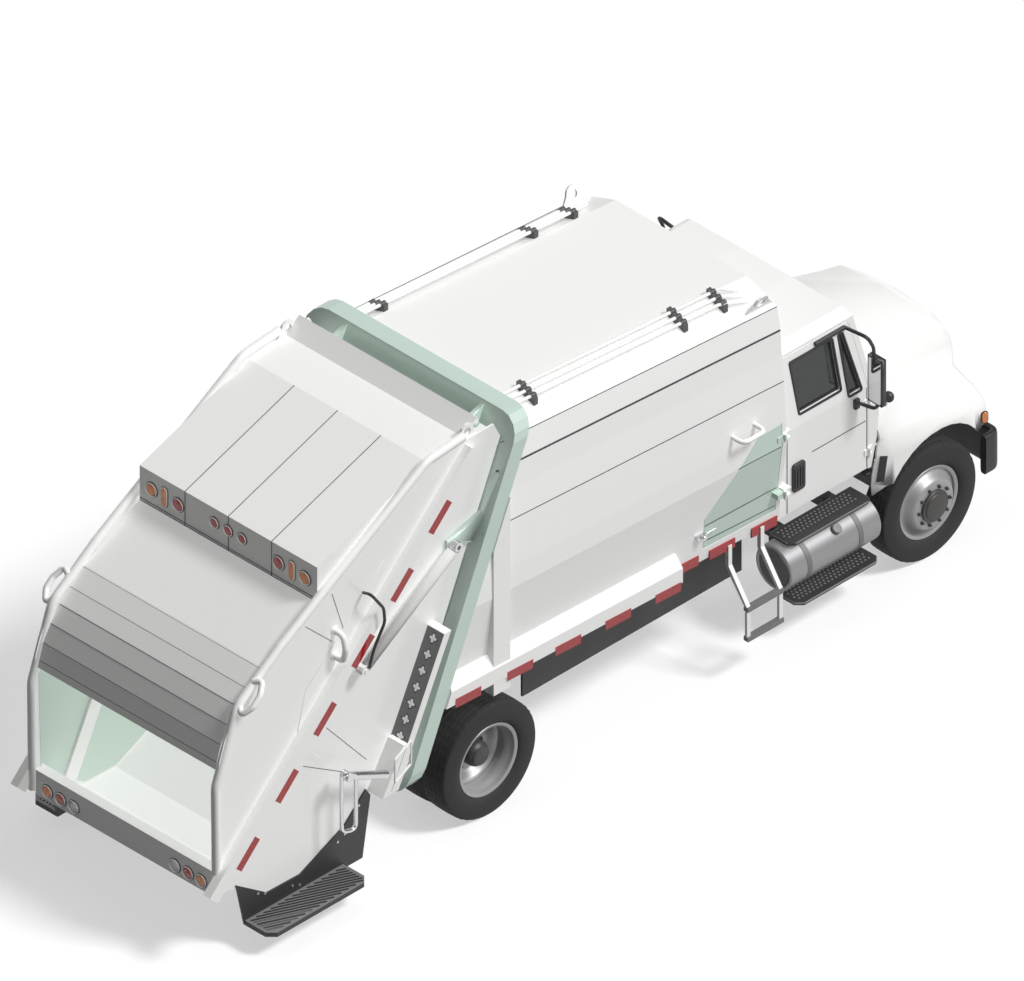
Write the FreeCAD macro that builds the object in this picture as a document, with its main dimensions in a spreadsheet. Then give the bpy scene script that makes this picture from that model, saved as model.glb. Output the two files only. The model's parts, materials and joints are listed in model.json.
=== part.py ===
import FreeCAD, Part
import math
import os
import Sketcher

Vector = FreeCAD.Vector

# The truck is drawn with X forward from the front axle, Y to its left and Z up from the ground,
# in millimetres. Every piece is then moved forward by axle_front, which centres the truck on the origin.

sizes = [
    # alias, value, what it is
    ("axle_front", 3672.5, "front axle ahead of the truck's middle"),
    ("wheelbase", 5015, "front axle to rear axle"),
    ("wall_gap", 6, "gap round doors and lids"),
    ("fit_gap", 0.05, "radial clearance of a pin in its bore"),
    ("seat_gap", 0.3, "gap between a moving piece and its seat"),
    ("tyre_radius", 531, "tyre's outer radius"),
    ("tyre_width", 275, "tyre's section width"),
    ("rim_radius", 330, "rim flange radius"),
    ("track_front", 1007, "centre plane to middle of a front tyre"),
    ("track_rear", 1042, "centre plane to middle of an outer rear tyre"),
    ("dual_spacing", 335, "spacing of twin tyres"),
    ("kingpin_out", 830, "centre plane to the kingpin"),
    ("kingpin_radius", 20, "kingpin radius"),
    ("rail_out", 432, "centre plane to a rail's outer face"),
    ("rail_flange", 80, "width of a rail's flanges"),
    ("rail_wall", 10, "thickness of a rail"),
    ("rail_top", 1000, "top of the rails"),
    ("rail_depth", 260, "height of a rail"),
    ("hub_face", 600, "centre plane to the ends of the rear axle's housing"),
    ("rail_front", 770, "front end of the rails"),
    ("rail_rear", -5600, "rear end of the rails"),
    ("skirt_out", 900, "outer face of the side skirts"),
    ("skirt_low", 710, "lower edge of the side skirts"),
    ("plate", 20, "thickness of plate steel panels"),
    ("bumper_front", 800, "front face of the bumper"),
    ("bumper_low", 500, "lower edge of the bumper"),
    ("bumper_high", 870, "upper edge of the bumper"),
    ("bumper_half", 1150, "half width of the bumper"),
    ("cab_back", -1600, "rear face of the cab"),
    ("cab_low", 1090, "underside of the cab"),
    ("cab_half", 1000, "half width of the cab below the windows"),
    ("belt_high", 1900, "height of the cab's belt line"),
    ("eave_half", 940, "half width of the cab at the roof edge"),
    ("eave_high", 2620, "height of the cab's roof edge"),
    ("roof_high", 2710, "top of the cab's roof"),
    ("cab_wall", 60, "thickness of the cab's walls and doors"),
    ("door_rear", -1493, "rear edge of a cab door"),
    ("door_front", -575, "front edge of a cab door"),
    ("door_top", 2590, "top edge of a cab door"),
    ("glass", 8, "thickness of the glass"),
    ("tank_radius", 205, "fuel tank radius"),
    ("tank_out", 1050, "centre plane to the fuel tank's axis"),
    ("tank_high", 700, "height of the fuel tank's axis"),
    ("tank_rear", -1690, "rear end of the fuel tank"),
    ("tank_front", -670, "front end of the fuel tank"),
    ("step_thick", 30, "thickness of the mesh steps"),
    ("box_front", -1684, "front face of the load body"),
    ("box_wall", 40, "thickness of the load body's walls"),
    ("ring_top_x", -4525, "front edge of the rear ring's top"),
    ("ring_top", 3717, "height of the rear ring's top"),
    ("ring_low", 650, "height of the rear ring's lowest point"),
    ("ring_lean", 0.431, "forward lean of the rear ring for each unit of height"),
    ("ring_beyond", 140, "how far the rear ring stands out beyond the tailgate's side plates"),
    ("ring_member", 195, "width of the ring's members"),
    ("ring_depth", 165, "length of the ring along the truck"),
    ("ring_corner", 210, "outer corner radius of the ring"),
    ("tail_half", 1050, "outer face of the tailgate's side plates"),
    ("tail_gap", 16, "gap between the ring and the tailgate"),
    ("tube_radius", 35, "radius of the tubes that edge the tailgate"),
    ("hood_hinge_x", 762, "hood hinge axis, along the truck"),
    ("hood_hinge_z", 905, "hood hinge axis, height"),
    ("hood_pin", 10, "radius of the hood's hinge pins"),
    ("hood_hinge_out", 520, "centre plane to the hood's hinge eyes"),
    ("door_hinge_x", -572, "cab door hinge axis, along the truck"),
    ("door_hinge_gap", 16, "a cab door's hinge axis beyond the cab's side"),
    ("door_pin", 8, "radius of the cab doors' hinge pins"),
    ("access_hinge_x", -1712, "access door hinge axis, along the truck"),
    ("access_hinge_out", 1206, "centre plane to the access door's hinge axis"),
    ("hinge_x", -4860, "tailgate hinge axis, along the truck"),
    ("hinge_z", 3600, "tailgate hinge axis, height"),
    ("hinge_radius", 30, "radius of the tailgate's hinge pin"),
    ("hinge_out", 800, "centre plane to the tailgate's hinge eyes"),
    ("beam_thick", 80, "depth of the tailgate's diagonal beams"),
    ("trunnion_radius", 20, "radius of the pins that carry the lift cylinders"),
    ("lug_hole", 40, "radius of the holes in the lifting lugs"),
    ("lug_wall", 20, "thickness of the lifting lugs"),
    ("lamp_round", 45, "radius of the round tail lamps"),
    ("wheel_sides", 20, "flats round a tyre or a rim"),
    ("lift_gap", 90, "a lift cylinder's axis beyond the tailgate's side plate"),
    ("eye_x", -5371, "rod eye of a lift cylinder, along the truck"),
    ("eye_z", 2800, "rod eye of a lift cylinder, height"),
    ("trunnion_x", -6423, "barrel pivot of a lift cylinder, along the truck"),
    ("trunnion_z", 2117, "barrel pivot of a lift cylinder, height"),
    ("barrel_radius", 46, "outer radius of a lift cylinder"),
    ("rod_radius", 28, "rod radius of a lift cylinder"),
    ("step_high", 250, "top of the rear steps"),
    ("step_out", 1370, "outer edge of the rear steps"),
]

doc = FreeCAD.newDocument("GarbageTruck")
sheet = doc.addObject("Spreadsheet::Sheet", "Sizes")
for row, (alias, value, meaning) in enumerate(sizes, start=1):
    sheet.set(f"A{row}", meaning)
    sheet.set(f"B{row}", str(value))
    sheet.setAlias(f"B{row}", alias)
doc.recompute()


def words(value):
    return getattr(value, "text", repr(float(value)))


class Size(float):
    """A number that also remembers the sheet expression it stands for."""

    def __new__(cls, value, text):
        size = super().__new__(cls, value)
        size.text = text
        return size

    def __add__(self, other):
        return Size(float(self) + float(other), f"({self.text} + {words(other)})")

    def __radd__(self, other):
        return Size(float(other) + float(self), f"({words(other)} + {self.text})")

    def __sub__(self, other):
        return Size(float(self) - float(other), f"({self.text} - {words(other)})")

    def __rsub__(self, other):
        return Size(float(other) - float(self), f"({words(other)} - {self.text})")

    def __mul__(self, other):
        return Size(float(self) * float(other), f"({self.text} * {words(other)})")

    __rmul__ = __mul__

    def __truediv__(self, other):
        return Size(float(self) / float(other), f"({self.text} / {words(other)})")

    def __neg__(self):
        return Size(-float(self), f"(0 - {self.text})")


class Sheet:
    """The sheet's sizes as attributes, such as dims.wheelbase."""

    def __getattr__(self, alias):
        return Size(sheet.get(alias), f"Sizes.{alias}")


dims = Sheet()
pieces = []
sides = {"right": -1, "left": 1}


def bind(thing, path, value):
    """Set a property and, where the value comes from the sheet, bind it to the sheet."""
    if hasattr(value, "text"):
        thing.setExpression(path, value.text)
    elif path in thing.PropertiesList:
        setattr(thing, path, value)


def place(thing):
    thing.Placement = FreeCAD.Placement(Vector(dims.axle_front, 0, 0), FreeCAD.Rotation())
    bind(thing, "Placement.Base.x", dims.axle_front)


def new_body(label):
    body = doc.addObject("PartDesign::Body", label)
    body.Label = label
    place(body)
    pieces.append(body)
    return body


def feature(label, shape):
    thing = doc.addObject("Part::Feature", label)
    thing.Label = label
    thing.Shape = shape
    place(thing)
    pieces.append(thing)
    return thing


def draw(body, plane, outline, at):
    """A closed polygon on one of the body's origin planes, moved to the height 'at' over it."""
    sketch = body.newObject("Sketcher::SketchObject", f"{body.Name}_outline")
    base = [item for item in body.Origin.OriginFeatures if item.Role == f"{plane}_Plane"][0]
    sketch.AttachmentSupport = [(base, "")]
    sketch.MapMode = "FlatFace"
    offset = -at if plane == "XZ" else at
    sketch.AttachmentOffset = FreeCAD.Placement(Vector(0, 0, float(offset)), FreeCAD.Rotation())
    bind(sketch, "AttachmentOffset.Base.z", offset)
    corners = [Vector(a, b, 0) for a, b in outline]
    lines = [Part.LineSegment(p, q) for p, q in zip(corners, corners[1:] + corners[:1])]
    ids = sketch.addGeometry(lines, False)
    for index, line in enumerate(ids):
        sketch.addConstraint(Sketcher.Constraint("Coincident", line, 2, ids[(index + 1) % len(ids)], 1))
    for line, point in zip(ids, outline):
        for kind, value in zip(("DistanceX", "DistanceY"), point):
            number = sketch.addConstraint(Sketcher.Constraint(kind, -1, 1, line, 1, float(value)))
            bind(sketch, f"Constraints[{number}]", value)
    return sketch


def pad(body, plane, outline, low, high):
    """Pad an outline from low to high along the plane's axis: X for YZ, Y for XZ, Z for XY."""
    thing = body.newObject("PartDesign::Pad", f"{body.Name}_pad")
    thing.Profile = draw(body, plane, outline, high if plane == "XZ" else low)
    bind(thing, "Length", high - low)
    return thing


def rect(a, b, c, d):
    """Corners of a rectangle from (a, b) to (c, d)."""
    return [(a, b), (c, b), (c, d), (a, d)]


def span(side, near, far):
    """Low and high Y of a piece that lies from near to far out from the centre plane."""
    return (near, far) if side > 0 else (-far, -near)


def box(x0, x1, y0, y1, z0, z1):
    return Part.makeBox(x1 - x0, y1 - y0, z1 - z0, Vector(x0, y0, z0))


def polygon(points):
    points = [Vector(*point) for point in points]
    return Part.Face(Part.makePolygon(points + points[:1]))


def prism(plane, outline, low, high):
    """A solid polygon prism from low to high along X for YZ, along Y for XZ and along Z for XY."""
    if plane == "YZ":
        return polygon([(low, a, b) for a, b in outline]).extrude(Vector(high - low, 0, 0))
    if plane == "XZ":
        return polygon([(a, low, b) for a, b in outline]).extrude(Vector(0, high - low, 0))
    return polygon([(a, b, low) for a, b in outline]).extrude(Vector(0, 0, high - low))


def rod(start, end, radius):
    start = Vector(*start)
    along = Vector(*end) - start
    return Part.makeCylinder(radius, along.Length, start, along)


def circle(radius, flats, centre=(0, 0), outside=True):
    """Corners of a regular polygon whose flats, or whose corners where it is inside, touch a circle."""
    turn = 2 * math.pi / flats
    reach = radius / math.cos(turn / 2) if outside else radius
    angles = [(k + 0.5) * turn for k in range(int(flats))]
    return [(centre[0] + reach * math.cos(t), centre[1] + reach * math.sin(t)) for t in angles]


def facet(*corners):
    return Part.Face(Part.makePolygon(list(corners) + [corners[0]]))


def patch(a, b, c, d):
    """Flat faces over a quad: one, or where it is twisted two along its shorter diagonal."""
    loop = [p for p, q in ((a, b), (b, c), (c, d), (d, a)) if p.distanceToPoint(q) > 1e-6]
    if len(loop) < 3:
        return []
    normal = (c - a).cross(d - b)
    if len(loop) == 3 or abs(normal.dot(b - a)) < 1e-7 * normal.Length:
        return [facet(*loop)]
    if (c - a).Length <= (d - b).Length:
        return [facet(a, b, c), facet(a, c, d)]
    return [facet(a, b, d), facet(b, c, d)]


def skin(rings, closed=False):
    """A solid of flat faces over rings of points. Its ends are capped, or it closes on itself."""
    pairs = list(zip(rings, rings[1:])) + ([(rings[-1], rings[0])] if closed else [])
    faces = [] if closed else [facet(*rings[0]), facet(*rings[-1])]
    for ring, after in pairs:
        for corners in zip(ring, ring[1:] + ring[:1], after[1:] + after[:1], after):
            faces += patch(*corners)
    shell = Part.makeShell(faces)
    shell.sewShape()
    solid = Part.makeSolid(shell)
    if solid.Volume < 0:
        solid.reverse()
    return solid


def lathe(outline, flats, at=(0, 0, 0), closed=True):
    """An outline of (along Y, radius) points carried round a Y axis in flat steps."""
    rings = [
        [Vector(at[0] + a, at[1] + y, at[2] + b) for a, b in circle(radius, flats)]
        for y, radius in outline
    ]
    return skin(rings, closed)


def bar(start, end, radius, flats=12):
    """A straight bar with flats round it."""
    return pipe((start, end), radius, 0, flats)


def pin_bar(start, end, radius, flats=12):
    """A bar whose corners lie just within the radius, so that it turns in a bore."""
    return bar(start, end, (radius - 2 * dims.fit_gap) * math.cos(math.pi / flats), flats)


def rounded_path(points, bend):
    """Points of a path with an arc at each inner corner, and the path's way at each point."""
    points = [Vector(*point) for point in points]
    way = (points[1] - points[0]).normalize()
    path = [(points[0], way)]
    for before, corner, after in zip(points, points[1:], points[2:]):
        back, ahead = (before - corner).normalize(), (after - corner).normalize()
        half = back.getAngle(ahead) / 2
        centre = corner + (back + ahead).normalize() * (bend / math.sin(half))
        spoke = corner + back * (bend / math.tan(half)) - centre
        turn = math.pi - 2 * half
        steps = math.ceil(turn / 0.6)
        for k in range(steps + 1):
            t = turn * k / steps
            way = spoke * (-math.sin(t) / bend) - back * math.cos(t)
            path.append((centre + spoke * math.cos(t) - back * (bend * math.sin(t)), way))
    path.append((points[-1], (points[-1] - points[-2]).normalize()))
    return path


def pipe(points, radius, bend, flats=8):
    """A bar with flats round it along a path with rounded corners."""
    rings = []
    across = None
    for point, way in rounded_path(points, bend):
        if across is None:
            across = way.cross(Vector(0, 0, 1) if abs(way.z) < 0.9 else Vector(1, 0, 0))
        across = (across - way * way.dot(across)).normalize()
        up = across.cross(way)
        rings.append([point + across * a + up * b for a, b in circle(radius, flats)])
    return skin(rings)


def strip(outline, thickness):
    """Corners of a band of even thickness below a run of (x, z) points that goes rearward."""
    points = [Vector(x, 0, z) for x, z in outline]
    ways = [(after - before).normalize() for before, after in zip(points, points[1:])]
    lower = []
    for point, into, out in zip(points, ways[:1] + ways, ways + ways[-1:]):
        middle = (into + out).normalize()
        reach = thickness / math.cos(into.getAngle(out) / 2)
        lower.append((point.x - reach * middle.z, point.z + reach * middle.x))
    return list(outline) + lower[::-1]


def grown(outline, by):
    """A clockwise or anticlockwise outline with each side moved out by a gap."""
    points = [Vector(x, 0, z) for x, z in outline]
    area = sum(p.x * q.z - q.x * p.z for p, q in zip(points, points[1:] + points[:1]))
    out = math.copysign(by, area)
    moved = []
    for before, point, after in zip(points[-1:] + points, points, points[1:] + points[:1]):
        into, away = (point - before).normalize(), (after - point).normalize()
        middle = (into + away).normalize()
        reach = out / math.cos(into.getAngle(away) / 2)
        moved.append((point.x + reach * middle.z, point.z - reach * middle.x))
    return moved


def hinge_leaves(x, side, out, low, high, pin, surface, cutter, reach=45):
    """The fixed and the moving half of a door hinge: its fixed half lies forward of the axis."""
    eye = pin + 6
    y = side * out
    leaf = 14
    ends = [(low - leaf, low), (high, high + leaf)]
    fixed = [pin_bar((x, y, low - leaf), (x, y, high + leaf), pin, 8)]
    inner, outer = sorted((side * surface, side * (out - pin)))
    for z0, z1 in ends:
        fixed.append(bar((x, y, z0), (x, y, z1), eye, 8))
        fixed.append(box(x, x + reach, inner, outer, z0, z1))
    moving = bar((x, y, low + 1), (x, y, high - 1), eye, 8)
    moving = moving.fuse(box(x - reach, x, inner, outer, low + 1, high - 1))
    moving = moving.cut(cutter((x, y, low), (x, y, high), pin + dims.fit_gap))
    return fuse(fixed), moving


def fuse(shapes):
    whole = shapes[0]
    for shape in shapes[1:]:
        whole = whole.fuse(shape)
    return whole.removeSplitter()


# ---- chassis ----

rail_low = dims.rail_top - dims.rail_depth
rail_in = dims.rail_out - dims.rail_flange
web_in = dims.rail_out - dims.rail_wall
rear_axle_x = -dims.wheelbase

frame = new_body("frame")
for side in sides.values():
    channel = [
        (dims.rail_out, rail_low), (dims.rail_out, dims.rail_top), (rail_in, dims.rail_top),
        (rail_in, dims.rail_top - dims.rail_wall), (web_in, dims.rail_top - dims.rail_wall),
        (web_in, rail_low + dims.rail_wall), (rail_in, rail_low + dims.rail_wall), (rail_in, rail_low),
    ]
    pad(frame, "YZ", [(side * y, z) for y, z in channel], dims.rail_rear, dims.rail_front)
for x in (500.0, -1300.0, -2700.0, -4200.0, -5560.0):
    pad(frame, "YZ", rect(-web_in, rail_low + 40, web_in, dims.rail_top - 40), x, x + 60)

for side in sides.values():
    near, far = span(side, rail_in, dims.rail_out)
    for x in (-1540.0, -740.0):
        pad(frame, "XZ", rect(x, dims.rail_top, x + 80, dims.cab_low), near, far)
    near, far = span(side, dims.rail_out, dims.hood_hinge_out + 34)
    pin_reach = dims.hood_pin - 2 * dims.fit_gap
    pin = circle(pin_reach, 12, (dims.hood_hinge_x, dims.hood_hinge_z), outside=False)
    pad(frame, "XZ", pin, near, far)

skirts = new_body("side_skirts")
skirt_top = dims.rail_top + 150
for side in sides.values():
    near, far = span(side, dims.skirt_out - dims.plate, dims.skirt_out)
    pad(skirts, "XZ", rect(-4380.0, dims.skirt_low, -1900.0, skirt_top), near, far)
    near, far = span(side, dims.rail_out, dims.skirt_out - dims.plate)
    for x in (-2100.0, -3100.0, -4100.0):
        pad(skirts, "XZ", rect(x, dims.rail_top - 120, x + 60, dims.rail_top - 40), near, far)

bumper = new_body("front_bumper")
bumper_wall = dims.plate + 10
bumper_edge = [
    # out from the centre plane, back from the front face
    (0, 0), (750, 0), (1000, 55), (1120, 130), (1150, 200),
]
front = [(dims.bumper_front - back, dims.bumper_half * (out / 1150)) for out, back in bumper_edge]
inner = [(x - bumper_wall, y - bumper_wall * (y / dims.bumper_half)) for x, y in front]
inner[-1] = (front[-1][0], inner[-1][1])
whole_bow = [(x, -y) for x, y in front[:0:-1]] + front + inner[:0:-1] + [(x, -y) for x, y in inner]
pad(bumper, "XY", whole_bow, dims.bumper_low, dims.bumper_high)

engine = new_body("engine")
engine_rear, gearbox_rear = -430.0, -1050.0
pad(engine, "YZ", rect(-330.0, 620.0, 330.0, 1500.0), engine_rear, 480.0)
pad(engine, "YZ", rect(-200.0, 620.0, 200.0, 980.0), gearbox_rear, engine_rear)
pad(engine, "YZ", rect(-web_in, 800.0, web_in, 880.0), -100.0, 100.0)

radiator = new_body("radiator")
pad(radiator, "YZ", rect(-345.0, 745.0, 345.0, 1420.0), 560.0, 660.0)

spring_outline = [
    # along from the axle, above the axle's centre
    (-640, 209), (-640, 175), (-560, 130), (-150, 45), (150, 45), (560, 130), (640, 175), (640, 209),
    (560, 209), (500, 165), (150, 95), (-150, 95), (-500, 165), (-560, 209),
]

# a forked knuckle turns on the axle's round eye
eye_low, eye_high = 460, 560
eye_radius = 45
yoke = [
    # along from the kingpin, out from it
    (-38, -18), (-18, -36), (18, -36), (38, -18), (45, 52), (-45, 52),
]
half_beam = [
    # out from the centre plane, height: under the beam outward, then back over it
    (520, 400), (dims.kingpin_out - 60, eye_low), (dims.kingpin_out, eye_low), (dims.kingpin_out, eye_high),
    (dims.kingpin_out - 60, eye_high), (500, 500),
]
beam = half_beam + [(-y, z) for y, z in half_beam[::-1]]
front_axle = [prism("YZ", beam, -eye_radius, eye_radius)]
for side in sides.values():
    near, far = span(side, rail_in, dims.rail_out)
    front_axle.append(prism("XZ", [(x, dims.tyre_radius + z) for x, z in spring_outline], near, far))
    front_axle.append(box(-70, 70, near, far, 480, dims.tyre_radius + 50))
    eye_y = side * dims.kingpin_out
    front_axle.append(bar((0, eye_y, eye_low), (0, eye_y, eye_high), eye_radius))
front_axle = fuse(front_axle)
for name, side in sides.items():
    eye_y = side * dims.kingpin_out
    front_axle = front_axle.cut(rod((0, eye_y, 300), (0, eye_y, 700), dims.kingpin_radius + dims.fit_gap))
    plan = [(x, side * (dims.kingpin_out + out)) for x, out in yoke]
    knuckle = [
        prism("XY", plan, eye_high + dims.seat_gap, eye_high + 40),
        prism("XY", plan, eye_low - 40, eye_low - dims.seat_gap),
        box(-80, 80, *span(side, dims.kingpin_out + 52, dims.kingpin_out + 70), eye_low - 40, eye_high + 60),
        pin_bar((0, eye_y, eye_low - 20), (0, eye_y, eye_high + 20), dims.kingpin_radius),
    ]
    feature(f"knuckle_{name}", fuse(knuckle))
feature("front_axle", front_axle)

housing = [
    # along from the middle, radius
    (-dims.hub_face, 62), (-500, 80), (-220, 88), (-120, 200), (120, 200), (220, 88), (500, 80),
    (dims.hub_face, 62),
]
axle_at = (rear_axle_x, 0, dims.tyre_radius)
rear_axle = [lathe(housing, 12, axle_at, closed=False)]
for side in sides.values():
    near, far = span(side, dims.rail_out, dims.rail_out + 75)
    spring = [(rear_axle_x + x, dims.tyre_radius + z) for x, z in spring_outline]
    rear_axle.append(prism("XZ", spring, near, far))
    pad_top = dims.tyre_radius + 60
    rear_axle.append(box(rear_axle_x - 70, rear_axle_x + 70, near, far, dims.tyre_radius, pad_top))
    for x in (rear_axle_x - 650, rear_axle_x + 550):
        rear_axle.append(box(x, x + 100, near, far, rail_low, rail_low + 150))
rear_axle = fuse(rear_axle)
feature("rear_axle", rear_axle)
shaft = bar((gearbox_rear + 20, 0, 700), (rear_axle_x + 100, 0, 560), 45)
shaft = shaft.cut(rear_axle).cut(box(gearbox_rear, 0, -200, 200, 620, 980))
feature("drive_shaft", shaft)

muffler_y, muffler_z = 650, 790
exhaust = [
    bar((-2950, muffler_y, muffler_z), (-2200, muffler_y, muffler_z), 120, 16),
    pipe([(-2210, muffler_y, muffler_z), (-1750, 620, 760), (-1250, 560, 660), (-800, 300, 660),
          (engine_rear - 1, 280, 680)], 40, 150),
    pipe([(-2940, muffler_y, muffler_z), (-3180, muffler_y, muffler_z),
          (-3300, muffler_y + 60, muffler_z - 90)], 40, 90),
]
for x in (-2880, -2330):
    exhaust.append(box(x, x + 60, dims.rail_out, muffler_y, muffler_z + 30, muffler_z + 90))
exhaust = fuse(exhaust).cut(box(engine_rear, 0, -330, 330, 620, 900))
feature("exhaust", exhaust)

# ---- fuel tank, battery box and their steps ----

tank_y = -dims.tank_out
strap_at = (-1505.0, -925.0)
strap_wide = 55
strap_thick = 5
tank_ends = (dims.tank_rear, tank_y, dims.tank_high), (dims.tank_front, tank_y, dims.tank_high)
tank_flats = 24
tank = [bar(*tank_ends, dims.tank_radius, tank_flats)]
for x in strap_at:
    ends = (x, tank_y, dims.tank_high), (x + strap_wide, tank_y, dims.tank_high)
    tank.append(bar(*ends, dims.tank_radius + strap_thick, tank_flats))
tank = fuse(tank)
feature("fuel_tank", tank)


def cab_steps(body, side):
    """Two mesh steps, with the brackets that carry them from the frame rail."""
    top = dims.tank_high + dims.tank_radius + 8
    upper = [(-1610, 930), (-700, 930), (-700, 1150), (-740, 1170), (-1560, 1170), (-1610, 1130)]
    lower = [(-1600, 960), (-680, 960), (-680, 1200), (-730, 1250), (-1540, 1250), (-1600, 1190)]
    low = 360.0
    pad(body, "XY", [(x, side * y) for x, y in upper], top, top + dims.step_thick)
    pad(body, "XY", [(x, side * y) for x, y in lower], low, low + dims.step_thick)
    inner = dims.tank_out - dims.tank_radius - strap_thick - dims.seat_gap
    for x in strap_at:
        near, far = span(side, dims.rail_out, inner - 30)
        pad(body, "XZ", rect(x, rail_low + 60, x + 60, rail_low + 140), near, far)
        near, far = span(side, inner - 30, inner)
        pad(body, "XZ", rect(x, low, x + 60, top + dims.step_thick), near, far)
        near, far = span(side, inner - 30, 1000.0)
        pad(body, "XZ", rect(x, low, x + 60, low + dims.step_thick), near, far)
        pad(body, "XZ", rect(x, top, x + 60, top + dims.step_thick), near, far)


tank_steps = new_body("tank_steps")
cab_steps(tank_steps, -1)
battery = new_body("battery_box")
cab_steps(battery, 1)
pad(battery, "XZ", rect(-1590.0, 470.0, -720.0, 900.0), 837.0, 1150.0)

# ---- cab ----


def cab_front_view(shrink=0.0, low=None):
    """The cab's outline from the front, shrunk inward by a wall."""
    bottom = dims.cab_low + shrink if low is None else low
    half = [
        (dims.cab_half - shrink, bottom), (dims.cab_half - shrink, dims.belt_high),
        (dims.eave_half - shrink, dims.eave_high - shrink / 2),
        (dims.eave_half - 90 - shrink, dims.roof_high - 25 - shrink), (300, dims.roof_high - shrink),
    ]
    return half + [(-y, z) for y, z in half[::-1]]


cowl = [
    # rear edge of the hood and front of the cab, from the roof down
    (-690, 2640), (-520, 1930), (-456, 1655), (-446, 1577), (-476, 1330), (-534, 1090),
]
cab_roof = dims.roof_high + 20
cab_side_view = [(dims.cab_back, dims.cab_low), (dims.cab_back, cab_roof), (-760, cab_roof)] + cowl
wall = dims.cab_wall
cab_room_view = [
    (dims.cab_back + wall, dims.cab_low + wall), (dims.cab_back + wall, dims.roof_high),
    (-760 - wall, dims.roof_high), (-690 - wall, 2600), (-520 - wall, 1910), (-466 - wall, 1640),
    (-486 - wall, 1330), (-530 - wall, dims.cab_low + wall),
]


def crossed(front_view, side_view, reach=2200.0):
    """The solid that has one outline from the front and another from the side."""
    return prism("YZ", front_view, -reach, 300.0).common(prism("XZ", side_view, -1300.0, 1300.0))


window = [(-1412, 2520), (-927, 2520), (-866, 2000), (-1342, 2000)]
vent = [(-862, 2520), (-812, 2520), (-640, 1900), (-790, 1900)]
door_view = [
    (dims.door_rear, dims.cab_low + 10), (dims.door_rear, dims.door_top), (-752.0, dims.door_top),
    (-722.0, 2520.0), (dims.door_front, 1900.0), (dims.door_front, dims.cab_low + 10),
]
opening_view = grown(door_view, dims.wall_gap)
sill_view = rect(
    dims.door_rear - dims.wall_gap, dims.cab_low - 1, dims.door_front + dims.wall_gap, dims.cab_low + 20,
)
shell = crossed(cab_front_view(), cab_side_view)
room = crossed(cab_front_view(wall), cab_room_view)
shell = shell.cut(room)
for side in sides.values():
    near, far = span(side, dims.eave_half - 100, dims.cab_half + 100)
    shell = shell.cut(prism("XZ", opening_view, near, far)).cut(prism("XZ", sill_view, near, far))
screen_hole = prism("YZ", [(-800, 1960), (800, 1960), (760, 2560), (-760, 2560)], -900, -300)
back_view = rect(-600, 2050, 600, 2450)
back_hole = prism("YZ", back_view, dims.cab_back - 20, dims.cab_back + wall + 20)
shell = shell.cut(screen_hole).cut(back_hole)
door_hinges = {}
for name, side in sides.items():
    hinge_out = dims.cab_half + dims.door_hinge_gap
    halves = [
        hinge_leaves(dims.door_hinge_x, side, hinge_out, z, z + 60, dims.door_pin, dims.cab_half - 5, cutter)
        for z, cutter in ((1230, bar), (1720, rod))
    ]
    shell = fuse([shell] + [fixed for fixed, moving in halves])
    door_hinges[name] = [moving for fixed, moving in halves]
feature("cab_shell", shell)

screen_slope = (-520 + 690) / (1930 - 2640)
screen_view = []
for inset, z in ((20, 1960), (20, 2560), (20 + dims.glass, 2560), (20 + dims.glass, 1960)):
    screen_view.append((-690 + (z - 2640) * screen_slope - inset, z))
screen = prism("XZ", screen_view, -800, 800).common(screen_hole)
back_glass = prism("YZ", back_view, dims.cab_back + 20, dims.cab_back + 20 + dims.glass)
feature("cab_glass", Part.makeCompound([screen, back_glass]))

dash_half = dims.cab_half - 100
hub_y, hub_z = 420, 1770
wheel_flats, grip = 12, 14
wheel_way = Vector(-0.8, 0, 0.6)
wheel_up = Vector(0.6, 0, 0.8)
wheel_rings = []
for a, b in circle(190, wheel_flats):
    outward = (Vector(0, a, 0) + wheel_up * b).normalize()
    centre = Vector(-895, hub_y, hub_z) + outward * 190
    wheel_rings.append([centre + outward * u + wheel_way * v for u, v in circle(grip, 6)])
dashboard = [
    box(-800, -600, -dash_half, dash_half, 1500, 1820),
    box(-760, -720, -dash_half - 30, dash_half + 30, 1150, 1520),
    bar((-790, hub_y, 1700), (-880, hub_y, 1760), 25, 8),
    bar((-875, hub_y, 1755), (-905, hub_y, 1778), 60, 10),
    bar((-895, hub_y - 190, hub_z), (-895, hub_y + 190, hub_z), 12, 6),
    skin(wheel_rings, closed=True),
]
feature("dashboard", fuse(dashboard))

seats = new_body("seats")
seat_view = [
    # from the foot's rear corner, round the cushion and up the back
    (-1450.0, 1150.0), (-1050.0, 1150.0), (-1050.0, 1450.0), (-1000.0, 1480.0), (-1000.0, 1560.0),
    (-1380.0, 1570.0),
    (-1470.0, 2220.0), (-1535.0, 2210.0), (-1480.0, 1480.0),
]
for side in sides.values():
    near, far = span(side, dims.cab_half * 0.43 - 240, dims.cab_half * 0.43 + 240)
    pad(seats, "XZ", seat_view, near, far)

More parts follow.
